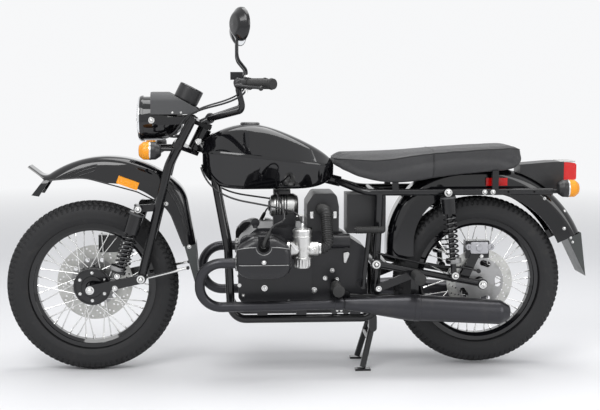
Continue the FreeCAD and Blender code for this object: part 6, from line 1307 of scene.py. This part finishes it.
STEERING_SCREWS = (("headlamp_cowl", -478, 999, 2.8), ("headlamp_cowl", -446, 999, 2.8),
                   ("front_flap", -421, 486, 5), ("front_mudguard", -506, 652, 5))
CHASSIS_SCREWS = (("rear_mudguard", 956, 663, 4), ("rear_mudguard", 1038, 612, 4),
                  ("rear_mudguard", 1036, 545, 4.4), ("rear_flap", 1063, 508, 3.4),
                  ("rear_flap", 1071, 491, 3.4))
HEAD_CAP = [(0, -2), (13, -2), (13.5, 0), (13.5, 5), (11, 7), (8, 7), (7, 5), (0, 5)]


def side_screws():
    """Screws on the headlamp's shell and cowl, the steering head, the mudguards and the flaps."""
    ear = touch_side("headlamp_shell", -557, 970)
    steering = [turned(ear, OUT, [(0, -3), (13, -3), (13, 2), (11.5, 3.5), (0, 3.5)])]
    steering += bolt(ear - (0, 3.2, 0), OUT, 6.4)
    chassis = [turned(touch_side("frame", -383, 887), OUT, HEAD_CAP, 36)]
    for body, made, screws in (("steering", steering, STEERING_SCREWS),
                               ("chassis", chassis, CHASSIS_SCREWS)):
        for node, x, z, size in screws:
            made += bolt(touch_side(node, x, z), OUT, size, ACORN_NUT)
        piece(body + "_screws", pair(made), bright_steel, body)


for detail in (fasteners, control_cables, ignition, rocker_trim, crankcase_trim, carburettor_trim,
               intake_trim, exhaust_trim, rubbers, hand_fittings, mudguard_trim, lamp_trim, caliper_trim,
               shock_trim, rods_and_levers, side_screws):
    detail()


# Floor, light and background

FLOOR_HALF, PALE = 60, (0.93, 0.935, 0.945)
LAMPS = (("key", (-1.6, -3.0, 3.4), 2.2, 95), ("top", (0.4, 0.3, 3.6), 2.6, 80),
         ("fill", (2.8, -2.6, 1.8), 2.0, 35))
LAMP_TARGET = Vector((0, 0, 0.5))


def seen_rays(tree):
    """1 for rays from the camera, off a gloss and through glass."""
    rays = tree.nodes.new("ShaderNodeLightPath").outputs
    return calculate(tree, "MAXIMUM", rays["Is Camera Ray"],
                     calculate(tree, "MAXIMUM", rays["Is Glossy Ray"], rays["Is Transmission Ray"]))


def studio():
    """A wide pale floor that fades into the background, three soft lamps, and a pale world."""
    mesh = bpy.data.meshes.new("floor")
    corners = ((-1, -1), (1, -1), (1, 1), (-1, 1))
    mesh.from_pydata([(x * FLOOR_HALF, y * FLOOR_HALF, 0) for x, y in corners], [], [(0, 1, 2, 3)])
    floor = bpy.data.objects.new("floor", mesh)
    link(floor)
    finish, tree, shader, place = blank_finish("studio_floor")
    away = reckon(tree, "LENGTH", place["Object"])
    noise = placed(tree, GRAIN, Vector=place["Object"], Scale=60.0)
    feed(tree, shader, Base_Color=(0.80, 0.80, 0.81, 1), Roughness=plus(tree, 0.45, noise, 0.1),
         Specular_IOR_Level=0.25)
    far = calculate(tree, "MULTIPLY", calculate(tree, "SUBTRACT", away.outputs["Value"], 3.2), 0.22,
                    clamp=True)
    glow = add(tree, "ShaderNodeEmission", Color=PALE + (1,), Strength=1.0)
    share = calculate(tree, "MULTIPLY", far, seen_rays(tree))
    mix = add(tree, "ShaderNodeMixShader", None, (0, share), (1, shader.outputs[0]), (2, glow.outputs[0]))
    feed(tree, tree.nodes["Material Output"], (0, mix.outputs[0]))
    floor.data.materials.append(finish)
    world = bpy.data.worlds.new("studio")
    bpy.context.scene.world = world
    world.use_nodes = True
    tree = world.node_tree
    feed(tree, tree.nodes["Background"], Color=blend_colour(tree, seen_rays(tree), (0.50, 0.51, 0.53), PALE),
         Strength=1.0)
    for name, place, size, power in LAMPS:
        data = bpy.data.lights.new(name, "AREA")
        data.size, data.energy = size, power
        lamp = bpy.data.objects.new(name, data)
        lamp.location = place
        lamp.rotation_mode = "QUATERNION"
        lamp.rotation_quaternion = (LAMP_TARGET - Vector(place)).to_track_quat("-Z", "Y")
        link(lamp)


studio()
bpy.context.scene.view_settings.view_transform = "Standard"
